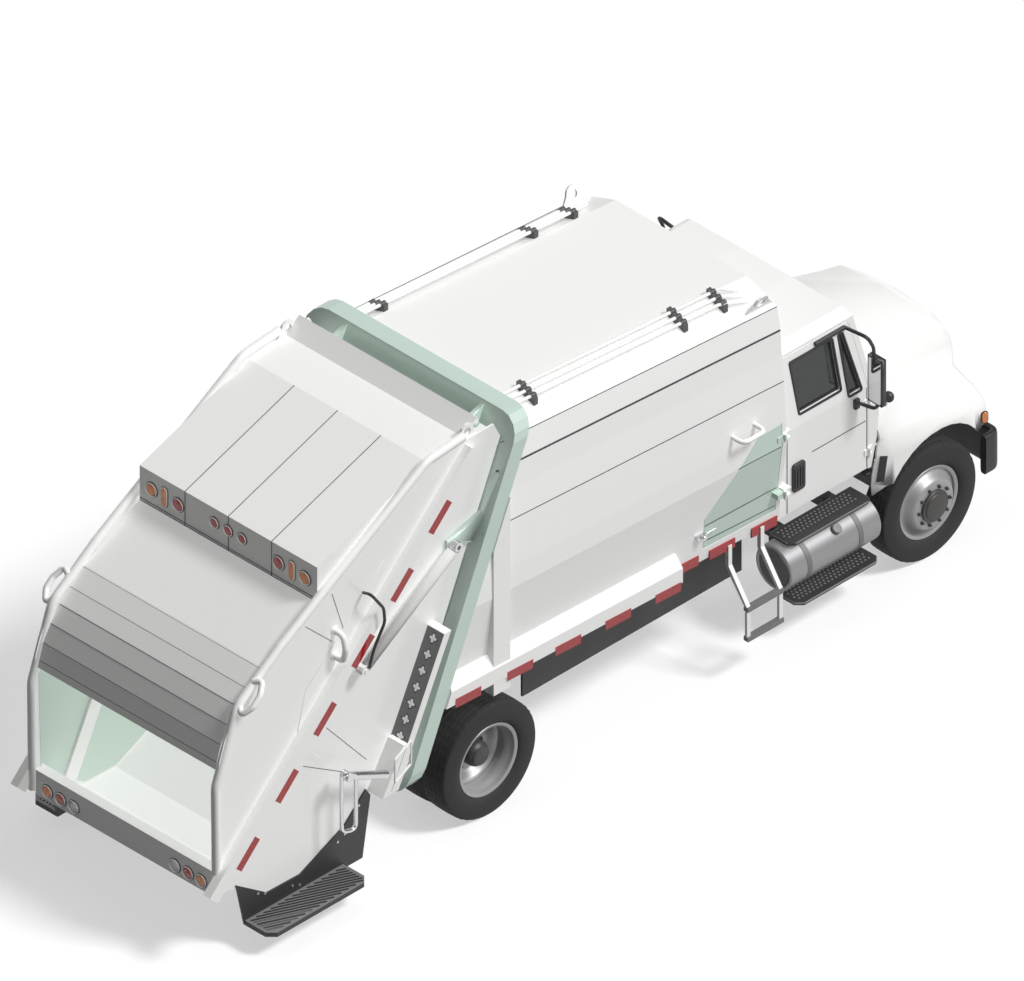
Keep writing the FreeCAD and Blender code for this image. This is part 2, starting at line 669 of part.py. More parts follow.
for name, side in sides.items():
    near, far = dims.cab_half - wall, dims.cab_half
    door_wall = [
        (far, dims.cab_low), (far, dims.belt_high), (dims.eave_half, dims.eave_high),
        (dims.eave_half - wall, dims.eave_high), (near, dims.belt_high), (near, dims.cab_low),
    ]
    leaf = crossed([(side * y, z) for y, z in door_wall], door_view)
    for hole in (window, vent):
        leaf = leaf.cut(prism("XZ", hole, -dims.cab_half - 100, dims.cab_half + 100))
    handle = box(-1420, -1385, *sorted((side * (dims.cab_half - 5), side * (dims.cab_half + 22))), 1290, 1550)
    feature(f"door_{name}", fuse([leaf, handle] + door_hinges[name]))
    outer = dims.glass / 2 - wall / 2
    inner = -dims.glass / 2 - wall / 2
    pane = [
        (dims.cab_half + outer, 1800), (dims.cab_half + outer, dims.belt_high),
        (dims.eave_half + outer, dims.eave_high),
        (dims.eave_half + inner, dims.eave_high), (dims.cab_half + inner, dims.belt_high),
        (dims.cab_half + inner, 1800),
    ]
    panes = [crossed([(side * y, z) for y, z in pane], hole) for hole in (window, vent)]
    feature(f"door_glass_{name}", Part.makeCompound(panes))
    y_in, y_out = dims.cab_half - 20, dims.cab_half + 190
    arm = pipe([
        (-790, side * (dims.eave_half - 5), 2560), (-760, side * y_out, 2560), (-700, side * y_out, 2440),
        (-640, side * y_out, 1900), (-640, side * (y_out - 20), 1790), (-700, side * y_in, 1800),
    ], 14, 50, 6)
    head = box(-690, -640, *span(side, dims.cab_half + 115, dims.cab_half + 275), 1880, 2330)
    bracket = box(-740, -690, *sorted((side * (dims.cab_half - 2), side * (dims.cab_half + 30))), 1760, 1850)
    behind_skin = door_wall[:4] + [(dims.eave_half - 200, dims.eave_high), (near - 200, dims.cab_low)]
    cab_side = crossed([(side * y, z) for y, z in behind_skin], rect(-1500, 1000, -400, 2700))
    feature(f"mirror_{name}", fuse([arm, head, bracket]).cut(cab_side))

# ---- hood ----

hood_sections = [
    # x, then (out, up) from the crown round the shoulder and the valley to the fender's foot
    (-600, [(0, 2000), (600, 1950), (880, 1810), (965, 1640), (955, 1500), (955, 1380), (950, 1200),
            (945, 780)]),
    (-400, [(0, 1985), (560, 1940), (820, 1800), (930, 1640), (960, 1500), (1060, 1340), (1120, 1190),
            (1120, 740)]),
    (100, [(0, 1925), (480, 1885), (650, 1780), (740, 1620), (800, 1480), (1000, 1390), (1110, 1250),
            (1120, 740)]),
    (550, [(0, 1850), (430, 1810), (570, 1700), (620, 1500), (660, 1340), (930, 1270), (1080, 1150),
            (1110, 740)]),
    (760, [(0, 1690), (420, 1650), (560, 1570), (600, 1440), (620, 1240), (860, 1160), (1000, 1080),
            (1030, 740)]),
    (800, [(0, 1600), (420, 1570), (540, 1500), (580, 1420), (600, 1220), (840, 1130), (960, 1040),
            (990, 740)]),
]


def hood_loft(shrink):
    """The hood's outside, or with a shrink its inside, which is open to the rear and below."""
    rings = []
    for x, half in hood_sections:
        if shrink:
            x = x - shrink if x > 700 else x - 20
            foot = (half[-1][0] - shrink, half[-1][1] - 40)
            half = [(max(y - shrink, 0), z - shrink) for y, z in half[:-1]] + [foot]
        ring = [Vector(x, y, z) for y, z in half] + [Vector(x, -y, z) for y, z in half[:0:-1]]
        rings.append(ring)
    return skin(rings)


# the rear edge below 1330 stays on an arc about the hinge that passes in front of the cab
hood_outline = [
    (-345, 2100), (-450, 1655), (-440, 1577), (-464, 1330), (-501, 1200), (-522, 1090), (-532, 1000),
    (-535, 905),
    (-529, 780), (-440, 740), (-300, 740), (500, 912), (900, 912), (900, 2100),
]
# a steered tyre's outer edge stays on a ball about the kingpin
tyre_out = dims.track_front - dims.kingpin_out + dims.tyre_width * 0.4
steer_reach = math.hypot(dims.tyre_radius + 5, tyre_out) + 16
ball_flats, ball_levels = 16, (120, 240, 360, 460, 540, 600)
hood = hood_loft(0).common(prism("XZ", hood_outline, -1300, 1300)).cut(hood_loft(25))
for side in sides.values():
    arch = circle(600, 32, (95, 577))
    hood = hood.cut(prism("XZ", arch, *span(side, 640, 1200)))
    rings = []
    for level in ball_levels:
        reach = math.sqrt(max(steer_reach ** 2 - level ** 2, 100))
        plan = circle(reach, ball_flats, (0, side * dims.kingpin_out))
        rings.append([Vector(x, y, dims.tyre_radius + level) for x, y in plan])
    hood = hood.cut(skin(rings))
grille_outline = [(-500.0, 960.0), (500.0, 960.0), (470.0, 1430.0), (-470.0, 1430.0)]
lamp_outline = [(660.0, 930.0), (900.0, 930.0), (900.0, 1070.0), (660.0, 1110.0)]
lamp_deep = 14
hood = hood.cut(prism("YZ", grille_outline, 700, 900))
for side in sides.values():
    hood = hood.cut(prism("YZ", [(side * y, z) for y, z in lamp_outline], dims.bumper_front - lamp_deep, 900))
eyes = []
hood_eye = dims.hood_pin + 10
for side in sides.values():
    y0, y1 = span(side, dims.hood_hinge_out, dims.hood_hinge_out + 20)
    at = (dims.hood_hinge_x, y0, dims.hood_hinge_z), (dims.hood_hinge_x, y1, dims.hood_hinge_z)
    arm_low, arm_high = dims.hood_hinge_z - 8, dims.hood_hinge_z + 30
    arm = box(dims.hood_hinge_x, dims.bumper_front - 10, y0, y1, arm_low, arm_high)
    cutter = rod if side > 0 else bar
    eyes.append(arm.fuse(bar(*at, hood_eye)).cut(cutter(*at, dims.hood_pin + dims.fit_gap)))
hood = fuse([hood] + eyes)
feature("hood", hood)

grille = new_body("grille")
pad(grille, "YZ", grille_outline, dims.bumper_front - 24, dims.bumper_front - 8)

lamps = new_body("head_lamps")
for side in sides.values():
    lamp = [(side * y, z) for y, z in lamp_outline]
    pad(lamps, "YZ", lamp, dims.bumper_front - lamp_deep, dims.bumper_front - 1)

# ---- wheels ----

rim_half = dims.tyre_width * 0.43


def tyre_section():
    """A tyre's section: its beads lie in the rim, 'seat_gap' off it."""
    half = dims.tyre_width / 2
    wall_high = dims.tyre_radius - dims.rim_radius
    seat = dims.rim_radius + dims.seat_gap
    right = [
        # along from the tyre's middle, radius
        (rim_half - 25, seat - 24), (rim_half, seat), (half, seat + wall_high * 0.42),
        (half * 0.82, dims.tyre_radius),
    ]
    return right + [(-y, r) for y, r in right[::-1]]


def rim_section():
    """Flanges and barrel of a rim."""
    out = dims.rim_radius
    right = [(rim_half, out - 40), (rim_half, out), (rim_half - 24, out - 24)]
    return right + [(-y, r) for y, r in right[::-1]]


def disc_section(flip):
    """A wheel's bowl from its bolting face, half the twin spacing inward, out to the barrel."""
    face = dims.dual_spacing / 2
    root = dims.rim_radius - 34
    bowl = [
        # inward from the wheel's middle, radius
        (face - 12, 90), (face - 12, 195), (rim_half - 34, root), (rim_half - 20, root + 4), (face, 205),
        (face, 90),
    ]
    return [(flip * y, r) for y, r in bowl]


front_seat = dims.kingpin_out + 70 - dims.track_front + dims.seat_gap
rear_seat = dims.hub_face - dims.track_rear + dims.seat_gap
hubs = {
    # along from the middle of the (outer) wheel, radius; then how far the round cap stands out
    "front": ([(front_seat, 110), (150, 110), (195, 90)], 207),
    "rear": ([(rear_seat, 115), (0, 115), (30, 90)], 42),
}
cap_radius = 12
wheel_table = (
    # axle, x, centre plane to the outer wheel's middle, (middle of each wheel, way its disc goes)
    ("front", 0, dims.track_front, ((0, 1),)),
    ("rear", rear_axle_x, dims.track_rear, ((0, -1), (-dims.dual_spacing, 1))),
)
for axle, x, track, wheels in wheel_table:
    for name, side in sides.items():
        at = (x, side * track, dims.tyre_radius)
        profile, cap_end = hubs[axle]
        rubber = []
        metal = [lathe([(side * y, r) for y, r in profile], 12, at, closed=False)]
        for middle, way in wheels:
            rubber.append(lathe([(side * (middle + y), r) for y, r in tyre_section()], dims.wheel_sides, at))
            for section in (rim_section(), disc_section(way)):
                metal.append(lathe([(side * (middle + y), r) for y, r in section], dims.wheel_sides, at))
        cap = [(x, side * (track + y), dims.tyre_radius) for y in (profile[-1][0] - 10, cap_end)]
        metal.append(rod(*cap, cap_radius))
        feature(f"tyre_{axle}_{name}", Part.makeCompound(rubber) if len(rubber) > 1 else rubber[0])
        feature(f"rim_{axle}_{name}", fuse(metal))

# ---- load body ----

box_rows = [
    # out, height at the front, rise rearward for each unit of length
    (741, 3410, 0.0793), (990, 3315, 0.077), (1087, 3279, 0.0742), (1122, 3067, 0.0688), (1138, 2845, 0.0636),
    (1163, 2588, 0.0584), (1187, 2180, 0.048), (1191, 1983, 0.044), (1133, 1533, 0.0355), (1099, 1196, 0.034),
]


def ring_face(z, back=0.0):
    """X of the ring's front plane at a height, moved rearward."""
    return dims.ring_top_x - dims.ring_lean * (dims.ring_top - z) - back


def box_point(out, high, rise, at_rear, slack=0.0):
    """A corner of the load body's section, at its front or on the ring's front plane."""
    if not at_rear:
        return Vector(dims.box_front, out, high)
    run = dims.box_front - dims.ring_top_x + dims.ring_lean * dims.ring_top + slack
    z = (high + rise * run) / (1 + rise * dims.ring_lean)
    return Vector(ring_face(z, slack), out, z)


def box_loft(rows, slack=0.0):
    """A straight bar of the load body between the sections at its front and at the ring."""
    rings = []
    for at_rear in (False, True):
        corners = [box_point(*row, at_rear, slack if at_rear else 0.0) for row in rows]
        rings.append(corners)
    return skin(rings)


def lifting_lug(high):
    """An upright plate with a lifting hole at the given height over its foot, along X."""
    half = dims.lug_wall / 2
    foot = prism("XZ", [(-165, -8), (165, -8), (62, high + 25), (-62, high + 25)], -half, half)
    head = bar((0, -half, high), (0, half, high), dims.lug_hole + 34)
    hole = rod((0, -half - 1, high), (0, half + 1, high), dims.lug_hole)
    return foot.fuse(head).cut(hole)


def to_left(rows):
    return [(-out, high, rise) for out, high, rise in rows]


def mirrored(shape, side):
    return shape if side > 0 else shape.mirror(Vector(0, 0, 0), Vector(0, 1, 0))


side_rows = box_rows[2:]
side_inner = [(out - dims.box_wall, high, rise) for out, high, rise in side_rows]
roof_half = box_rows[:3]
roof_under = [side_inner[0], (985, 3275, 0.077), (735, 3370, 0.0793)]
access = [(-1735, 2200), (-1990, 2200), (-2560, 1655), (-2550, 1350), (-1735, 1320)]


# the solid inside of the load body, and all that lies within the outer faces of its sides
inner_half_rows = roof_under[::-1] + side_inner[1:]
inner_block = box_loft(inner_half_rows + to_left(inner_half_rows)[::-1])
side_block = box_loft(to_left(side_rows) + side_rows[::-1])

sill_rows = [
    (1062, 1196, 0.034), (1215, 1196, 0.034), (1215, 1336, 0.034), (1135, 1432, 0.0345), (1062, 1432, 0.0345),
]
behind_view = [(ring_face(0), 0), (ring_face(4000), 4000), (-9000, 4000), (-9000, 0)]
behind_ring = prism("XZ", behind_view, -1300, 1300)
for name, side in sides.items():
    panel = box_loft(side_rows + side_inner[::-1])
    post = prism("YZ", [(1100, 1180), (1205, 1180), (1205, 3300), (1120, 3440), (1090, 3440)], -5010, -4820)
    post = post.cut(behind_ring).cut(side_block)
    sill = box_loft(sill_rows).common(box(-6200, -2880, 1000, 1300, 1000, 1800)).cut(inner_block)
    panel = panel.fuse(sill).fuse(post).removeSplitter()
    if name == "right":
        panel = panel.cut(prism("XZ", grown(access, dims.wall_gap), 900, 1300))
        access_axis = dims.access_hinge_x, 1, dims.access_hinge_out
        access_halves = [
            hinge_leaves(*access_axis, z, z + 50, dims.door_pin, 1080, cutter, 75)
            for z, cutter in ((1480, bar), (2040, rod))
        ]
        panel = fuse([panel] + [fixed.cut(inner_block) for fixed, moving in access_halves])
    feature(f"body_side_{name}", mirrored(panel, side))

roof = box_loft(to_left(roof_half)[::-1] + roof_half + roof_under + to_left(roof_under)[::-1])
chamfer = math.degrees(math.atan2(roof_half[0][1] - roof_half[2][1], roof_half[2][0] - roof_half[0][0]))
for side in sides.values():
    lug = lifting_lug(90).rotate(Vector(0, 0, 0), Vector(1, 0, 0), -side * chamfer)
    roof = roof.fuse(lug.translated(Vector(-1850, side * 1030, 3308)))
feature("body_roof", roof.removeSplitter())

floor_slab = box_loft([(-1150, 1196, 0.034), (1150, 1196, 0.034), (1150, 1236, 0.034), (-1150, 1236, 0.034)])
floor = inner_block.common(floor_slab)
beams = []
for side in sides.values():
    y0, y1 = span(side, rail_in, dims.rail_out)
    run = [
        (dims.box_front, dims.rail_top), (dims.rail_rear, dims.rail_top), (dims.rail_rear, 1320),
        (dims.box_front, 1200),
    ]
    beams.append(prism("XZ", run, y0, y1))
feature("body_floor", fuse([floor] + beams))

front_slab = box(dims.box_front - dims.box_wall, dims.box_front, -1200, 1200, 1000, 3700)
feature("body_front", inner_block.common(front_slab).cut(floor))

lean_length = math.hypot(1.0, dims.ring_lean)
ring_half = dims.tail_half + dims.ring_beyond


def ring_frame(half, low, high, corner):
    """A rounded rectangle in the ring's leaning plane, as a face; its heights are stretched by the lean."""
    bend = corner / lean_length
    turns = (
        # across, up, first angle
        (half - corner, high - bend, 0), (corner - half, high - bend, 90),
        (corner - half, low + bend, 180), (half - corner, low + bend, 270),
    )
    points = []
    for y, z, start in turns:
        for step in range(5):
            t = math.radians(start + step * 22.5)
            points.append((y + corner * math.cos(t), z + bend * math.sin(t)))
    return facet(*[Vector(ring_face(z), y, z) for y, z in points])


member_z = dims.ring_member / lean_length
outer_ring = ring_frame(ring_half, dims.ring_low, dims.ring_top, dims.ring_corner)
inner_ring = ring_frame(ring_half - dims.ring_member, dims.ring_low + member_z, dims.ring_top - member_z, 60)
depth = Vector(-dims.ring_depth, 0, 0)
ring = outer_ring.extrude(depth).cut(inner_ring.extrude(depth))
lift_out = dims.tail_half + dims.lift_gap
ears = []
for side in sides.values():
    y0, y1 = span(side, dims.hinge_out - 40, dims.hinge_out - 10)
    ear = [(ring_face(3700, 150), 3700), (dims.hinge_x - 45, dims.hinge_z + 30),
        (dims.hinge_x - 45, dims.hinge_z - 45),
           (ring_face(3540, 150), 3540)]
    ears.append(prism("XZ", ear, y0, y1))
    y0, y1 = span(side, lift_out - 84, lift_out - 54)
    lug = [(ring_face(2950, 150), 2950), (dims.eye_x - 45, dims.eye_z + 40),
        (dims.eye_x - 45, dims.eye_z - 45),
           (ring_face(2700, 150), 2700)]
    ears.append(prism("XZ", lug, y0, y1))
    ends = [(dims.eye_x, side * y, dims.eye_z) for y in (lift_out - 80, lift_out - 40)]
    ears.append(pin_bar(*ends, dims.trunnion_radius))
pin_end = dims.hinge_out + 60
pin_ends = [(dims.hinge_x, y, dims.hinge_z) for y in (-pin_end, pin_end)]
hinge_pin = pin_bar(*pin_ends, dims.hinge_radius)
feature("body_ring", fuse([ring] + ears + [hinge_pin]))


def roof_height(x, drop):
    """Height over the roof's crown edge, less a drop, at a place along the truck."""
    crown_out, crown_high, crown_rise = box_rows[0]
    return crown_high + crown_rise * (dims.box_front - x) - drop


pipes = []
for side in sides.values():
    for offset in (0, 60, 120):
        y = side * (790 + offset)
        drop = offset * 0.38 - 45
        bend_x = -2050 - offset
        pipes.append(pipe([(-4600, y, roof_height(-4600, drop)), (bend_x, y, roof_height(bend_x, drop)),
                           (-1900, y + side * 60, roof_height(-1900, drop + 60))], 15, 60, 5))
    for x in (-2150, -2600, -4300):
        z = roof_height(x, 0)
        clamp = [(side * 745, z - 2), (side * 950, z - 76), (side * 950, z - 10), (side * 745, z + 65)]
        pipes.append(prism("YZ", clamp, x, x + 50))
roof_block = box_loft(to_left(roof_half)[::-1] + roof_half)
feature("roof_pipes", fuse(pipes).cut(roof_block).cut(behind_ring))

ladder_rail = [
    (1085, 1240), (1085, 1035), (1310, 730), (1310, 410), (1335, 410), (1335, 740), (1125, 1047),
    (1125, 1240),
]
rungs = [prism("YZ", rect(1300, z, 1345, z + 40), -2274, -1869) for z in (700, 410)]
rails = [prism("YZ", ladder_rail, x - 20, x + 20).cut(side_block) for x in (-2254, -1889)]
feature("ladder", mirrored(fuse(rails + rungs), -1))

access_door = box_loft(side_rows + side_inner[::-1]).common(prism("XZ", access, 900, 1300))
clear_of_panel = side_block.translated(Vector(0, 4, 0)).common(box(-1738, -1600, 0, 1300, 1000, 3000))
access_leaves = [moving.cut(inner_block).cut(clear_of_panel) for fixed, moving in access_halves]
access_door = fuse([access_door] + access_leaves)
feature("access_door", mirrored(access_door, -1))

# ---- tailgate ----

tail_edge = [
    (-7980, 643), (-7995, 1194), (-7995, 1682), (-7962, 1927), (-7908, 2088), (-7832, 2237), (-7724, 2389),
    (-7594, 2493), (-7431, 2599), (-7258, 2719), (-6771, 2961), (-5609, 3704),
]
bowl = [(-6278, 820), (-6544, 600), (-7050, 370), (-7410, 378), (-7753, 597)]


def tail_front(z):
    return ring_face(z, dims.ring_depth + dims.tail_gap)


tube_out = dims.tail_half - dims.plate / 2
inner_half = dims.tail_half - dims.plate
between_tubes = tube_out - dims.tube_radius - dims.seat_gap
side_plate = tail_edge + [
    (-5130, 3692), (tail_front(3560) - 80, 3690), (tail_front(3540), 3540), (tail_front(820), 820),
] + bowl
beam_view = [(-8145, 725), (-8055, 635), (-5095, 3575), (-5185, 3665)]
channel_view = [(-5602, 2104), (-5525, 2104), (-6124, 856), (-6201, 856)]
tube_line = [(-7980, 643), (-7995, 1690), (-7760, 2360), (-7260, 2715), (-5609, 3700), (-5192, 3736)]
lug_x, lug_foot, lug_high = -5130, 3600, 140
shapes = []
for side in sides.values():
    lug_y = side * (tube_out - dims.tube_radius + dims.lug_wall / 2)
    trunnion = [(dims.trunnion_x, side * y, dims.trunnion_z)
                for y in (dims.tail_half, lift_out - 35 - dims.seat_gap, lift_out + 45)]
    shapes.append(fuse([
        prism("XZ", side_plate, *span(side, inner_half, dims.tail_half)),
        prism("XZ", beam_view, *span(side, dims.tail_half, dims.tail_half + dims.beam_thick)),
        pipe([(x, side * tube_out, z) for x, z in tube_line], dims.tube_radius, 220),
        prism("XZ", channel_view, *span(side, dims.tail_half, dims.tail_half + 190)),
        bar(*trunnion[:2], dims.trunnion_radius + 8, 8),
        pin_bar(trunnion[0], trunnion[2], dims.trunnion_radius),
        lifting_lug(lug_high).translated(Vector(lug_x, lug_y, lug_foot)),
    ]))
feature("tail_sides", Part.makeCompound(shapes))

floor_line = [
    (-7884, 846), (-7884, 735), (-7753, 620), (-7410, 400), (-7050, 392), (-6544, 625), (-6250, 950),
    (-5990, 1280),
]
floor_band = strip([(x, z) for x, z in floor_line[::-1]], 20)
feature("hopper_floor", prism("XZ", floor_band, -inner_half, inner_half))

cover_line = [
    (-6795, 2888), (-7430, 2560), (-7580, 2440), (-7700, 2330), (-7800, 2190), (-7880, 2040), (-7925, 1890),
    (-7940, 1830),
]
roof_band = [
    (-6807, 2846), (-6807, 3239), (-5571, 3659), (-5156, 3693), (-5000, 3810), (-4985, 3795), (-5140, 3665),
    (-5560, 3635), (-6780, 3215), (-6780, 2846),
]
cheek = [(-6780, 2846), (-6780, 3215), (-5560, 3635), (-5140, 3665), (-5200, 3600), (-5620, 3600),
    (-6700, 2950)]
hinge_plate = [(-4830, 3640), (-4990, 3791), (-5140, 3665), (-5260, 3656), (-4880, 3554)]
tail_roof = [prism("XZ", roof_band, -between_tubes, between_tubes)]
for side in sides.values():
    tail_roof.append(prism("XZ", cheek, *span(side, between_tubes - dims.plate, between_tubes)))
    y0, y1 = span(side, dims.hinge_out, dims.hinge_out + 30)
    tail_roof.append(prism("XZ", hinge_plate, y0, y1))
    tail_roof.append(bar((dims.hinge_x, y0, dims.hinge_z), (dims.hinge_x, y1, dims.hinge_z),
        dims.hinge_radius + 20))
tail_roof = fuse(tail_roof)
for side, cutter in ((1, rod), (-1, bar)):
    ends = (dims.hinge_x, 0, dims.hinge_z), (dims.hinge_x, side * 1000, dims.hinge_z)
    tail_roof = tail_roof.cut(cutter(*ends, dims.hinge_radius + dims.fit_gap))
feature("tail_roof", tail_roof)
feature("tail_cover", prism("XZ", strip(cover_line, -20), -between_tubes, between_tubes).cut(tail_roof))

bumper_back, light_box_back = -7984.0, -6807.0
tail_bumper = new_body("tail_bumper")
pad(tail_bumper, "XZ", rect(bumper_back, 604.0, bumper_back + 80, 846.0), -between_tubes, between_tubes)

tail_lamp_deep, small_lamp = 18, 36
tail_lamps = (
    # rear face it stands on, height, centre plane to the lamps, radius
    (bumper_back, 695, (between_tubes - 134, between_tubes - 284, between_tubes - 433), dims.lamp_round),
    (light_box_back, 3070, (between_tubes - 138, between_tubes - 436), dims.lamp_round),
    (light_box_back, 3100, (157,), small_lamp),
)
lamp_shapes = [bar((light_box_back, 0, 3100), (light_box_back - tail_lamp_deep, 0, 3100), small_lamp, 8)]
for side in sides.values():
    for x, z, row, radius in tail_lamps:
        for y in row:
            lamp_shapes.append(bar((x, side * y, z), (x - tail_lamp_deep, side * y, z), radius, 8))
    near, far = span(side, between_tubes - 308, between_tubes - 260)
    lamp_shapes.append(box(light_box_back - tail_lamp_deep, light_box_back, near, far, 2985, 3155))
feature("tail_lamps", Part.makeCompound(lamp_shapes))

rear_steps = new_body("rear_steps")
for side in sides.values():
    inner = dims.tail_half + 10
    tread = [(-7690, inner), (-6570, inner), (-6570, dims.step_out - 70), (-6640, dims.step_out),
        (-7620, dims.step_out),
             (-7690, dims.step_out - 70)]
    pad(rear_steps, "XY", [(x, side * y) for x, y in tread], dims.step_high - 40, dims.step_high)
    near, far = span(side, dims.tail_half, dims.tail_half + 15)
    bracket = [(-6264, 773), (-6354, 201), (-7689, 210), (-7783, 640), (-7431, 396), (-7056, 388),
        (-6561, 613), (-6315, 850)]
    pad(rear_steps, "XZ", bracket, near, far)

lift_run = Vector(dims.eye_x - dims.trunnion_x, 0, dims.eye_z - dims.trunnion_z)
lift_way = Vector(lift_run).normalize()
lift_long = lift_run.Length
pin_fit = dims.trunnion_radius + dims.fit_gap
for name, side in sides.items():
    start = Vector(dims.trunnion_x, side * lift_out, dims.trunnion_z)
    end = start + lift_run
    across = Vector(0, 35, 0)
    barrel = bar(start + lift_way * 36, start + lift_way * (lift_long - 55), dims.barrel_radius)
    bore = rod(start + lift_way * 80, start + lift_way * lift_long, dims.rod_radius + dims.fit_gap)
    barrel = barrel.fuse(bar(start - across, start + across, 45, 10))
    feature(f"lift_barrel_{name}", barrel.cut(bore).cut(rod(start - across * 2, start + across * 2, pin_fit)))
    stem = pin_bar(start + lift_way * 90, end, dims.rod_radius)
    stem = stem.fuse(bar(end - across, end + across, 45, 10))
    feature(f"lift_rod_{name}", stem.cut(rod(end - across * 2, end + across * 2, pin_fit)))

# ---- check and write ----

doc.recompute()
for thing in doc.Objects:
    if {"Invalid", "Error"} & set(thing.State):
        raise RuntimeError(f"{thing.Label} failed: {thing.State}")
os.makedirs("parts", exist_ok=True)
for piece in pieces:
    if piece.Shape.isNull() or not piece.Shape.isValid():
        raise RuntimeError(f"{piece.Label} has no valid shape")
    piece.Shape.exportStep(f"parts/{piece.Label}.step")
    bounds = piece.Shape.BoundBox
    print(f"{piece.Label}: {len(piece.Shape.Solids)} solids, volume {piece.Shape.Volume / 1e9:.5f} m3, "
          f"X {bounds.XMin:.0f}..{bounds.XMax:.0f} Y {bounds.YMin:.0f}..{bounds.YMax:.0f} "
          f"Z {bounds.ZMin:.0f}..{bounds.ZMax:.0f}")
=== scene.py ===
import json
import math

import bmesh
import bpy
import numpy as np
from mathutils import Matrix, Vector


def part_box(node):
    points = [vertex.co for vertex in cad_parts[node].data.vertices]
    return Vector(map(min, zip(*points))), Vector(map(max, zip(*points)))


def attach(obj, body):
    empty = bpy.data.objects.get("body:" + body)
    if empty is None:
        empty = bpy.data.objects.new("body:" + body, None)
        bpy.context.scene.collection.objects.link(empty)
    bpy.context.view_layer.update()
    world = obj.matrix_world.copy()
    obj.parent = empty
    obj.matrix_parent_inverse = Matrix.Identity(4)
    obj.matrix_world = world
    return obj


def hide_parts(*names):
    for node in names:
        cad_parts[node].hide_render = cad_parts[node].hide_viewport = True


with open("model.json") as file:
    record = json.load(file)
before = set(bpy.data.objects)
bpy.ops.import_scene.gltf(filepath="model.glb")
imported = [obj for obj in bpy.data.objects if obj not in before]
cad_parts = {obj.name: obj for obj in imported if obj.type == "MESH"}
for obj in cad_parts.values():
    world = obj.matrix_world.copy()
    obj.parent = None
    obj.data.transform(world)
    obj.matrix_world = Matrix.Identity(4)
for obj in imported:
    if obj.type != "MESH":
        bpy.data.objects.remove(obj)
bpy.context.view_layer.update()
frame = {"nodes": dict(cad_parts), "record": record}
nodes = frame["nodes"]

# All places below are metres forward of the front axle, to the truck's left and above the ground.
tyreLow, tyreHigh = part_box("tyre_front_right")
axleX = (tyreLow.x + tyreHigh.x) / 2
sides = {"right": -1, "left": 1}
bodyOf = {node: body for body, names in frame["record"]["behaviour"]["bodies"].items() for node in names}


def place(points):
    moved = np.array(points, float).reshape(-1, 3).copy()
    moved[:, 0] += axleX
    return moved


# materials

def newGroup(name, inputs, outputs):
    group = bpy.data.node_groups.new(name, "ShaderNodeTree")
    for socketName, kind, value in inputs:
        socket = group.interface.new_socket(socketName, in_out="INPUT", socket_type=kind)
        if value is not None:
            socket.default_value = value
    for socketName, kind in outputs:
        group.interface.new_socket(socketName, in_out="OUTPUT", socket_type=kind)
    start = group.nodes.new("NodeGroupInput")
    end = group.nodes.new("NodeGroupOutput")
    return group, start, end


def addNode(tree, kind, values=None, **settings):
    node = tree.nodes.new(kind)
    for key, value in settings.items():
        setattr(node, key, value)
    for key, value in (values or {}).items():
        node.inputs[key].default_value = value
    return node


def makeAgeGroup():
    # Slow tone changes and dust that gathers low down, as a colour and a roughness.
    group, start, end = newGroup(
        "paintAge",
        (("Vector", "NodeSocketVector", None), ("Paint", "NodeSocketColor", (0.8, 0.8, 0.8, 1)),
         ("Dust", "NodeSocketColor", (0.4, 0.38, 0.35, 1)), ("Amount", "NodeSocketFloat", 0.1),
         ("Gloss", "NodeSocketFloat", 0.3), ("DustTop", "NodeSocketFloat", 1.0)),
        (("Color", "NodeSocketColor"), ("Roughness", "NodeSocketFloat")),
    )
    wide = addNode(group, "ShaderNodeTexNoise", {"Scale": 1.3, "Detail": 4.0, "Roughness": 0.6})
    fine = addNode(group, "ShaderNodeTexNoise", {"Scale": 38.0, "Detail": 3.0})
    split = addNode(group, "ShaderNodeSeparateXYZ")
    height = addNode(group, "ShaderNodeMapRange", {"From Min": 0.0, "To Min": 1.0, "To Max": 0.0})
    both = addNode(group, "ShaderNodeMath", operation="MULTIPLY")
    more = addNode(group, "ShaderNodeMath", {1: 0.55}, operation="MULTIPLY_ADD")
    amount = addNode(group, "ShaderNodeMath", operation="MULTIPLY", use_clamp=True)
    mix = addNode(group, "ShaderNodeMix", data_type="RGBA")
    rough = addNode(group, "ShaderNodeMath", {1: 0.35}, operation="MULTIPLY_ADD")
    link = group.links.new
    for noise in (wide, fine):
        link(start.outputs["Vector"], noise.inputs["Vector"])
    link(start.outputs["Vector"], split.inputs["Vector"])
    link(split.outputs["Z"], height.inputs["Value"])
    link(start.outputs["DustTop"], height.inputs["From Max"])
    link(wide.outputs["Fac"], both.inputs[0])
    link(fine.outputs["Fac"], both.inputs[1])
    link(height.outputs["Result"], more.inputs[0])
    link(both.outputs["Value"], more.inputs[2])
    link(more.outputs["Value"], amount.inputs[0])
    link(start.outputs["Amount"], amount.inputs[1])
    link(amount.outputs["Value"], mix.inputs["Factor"])
    link(start.outputs["Paint"], mix.inputs[6])
    link(start.outputs["Dust"], mix.inputs[7])
    link(mix.outputs[2], end.inputs["Color"])
    link(amount.outputs["Value"], rough.inputs[0])
    link(start.outputs["Gloss"], rough.inputs[2])
    link(rough.outputs["Value"], end.inputs["Roughness"])
    return group


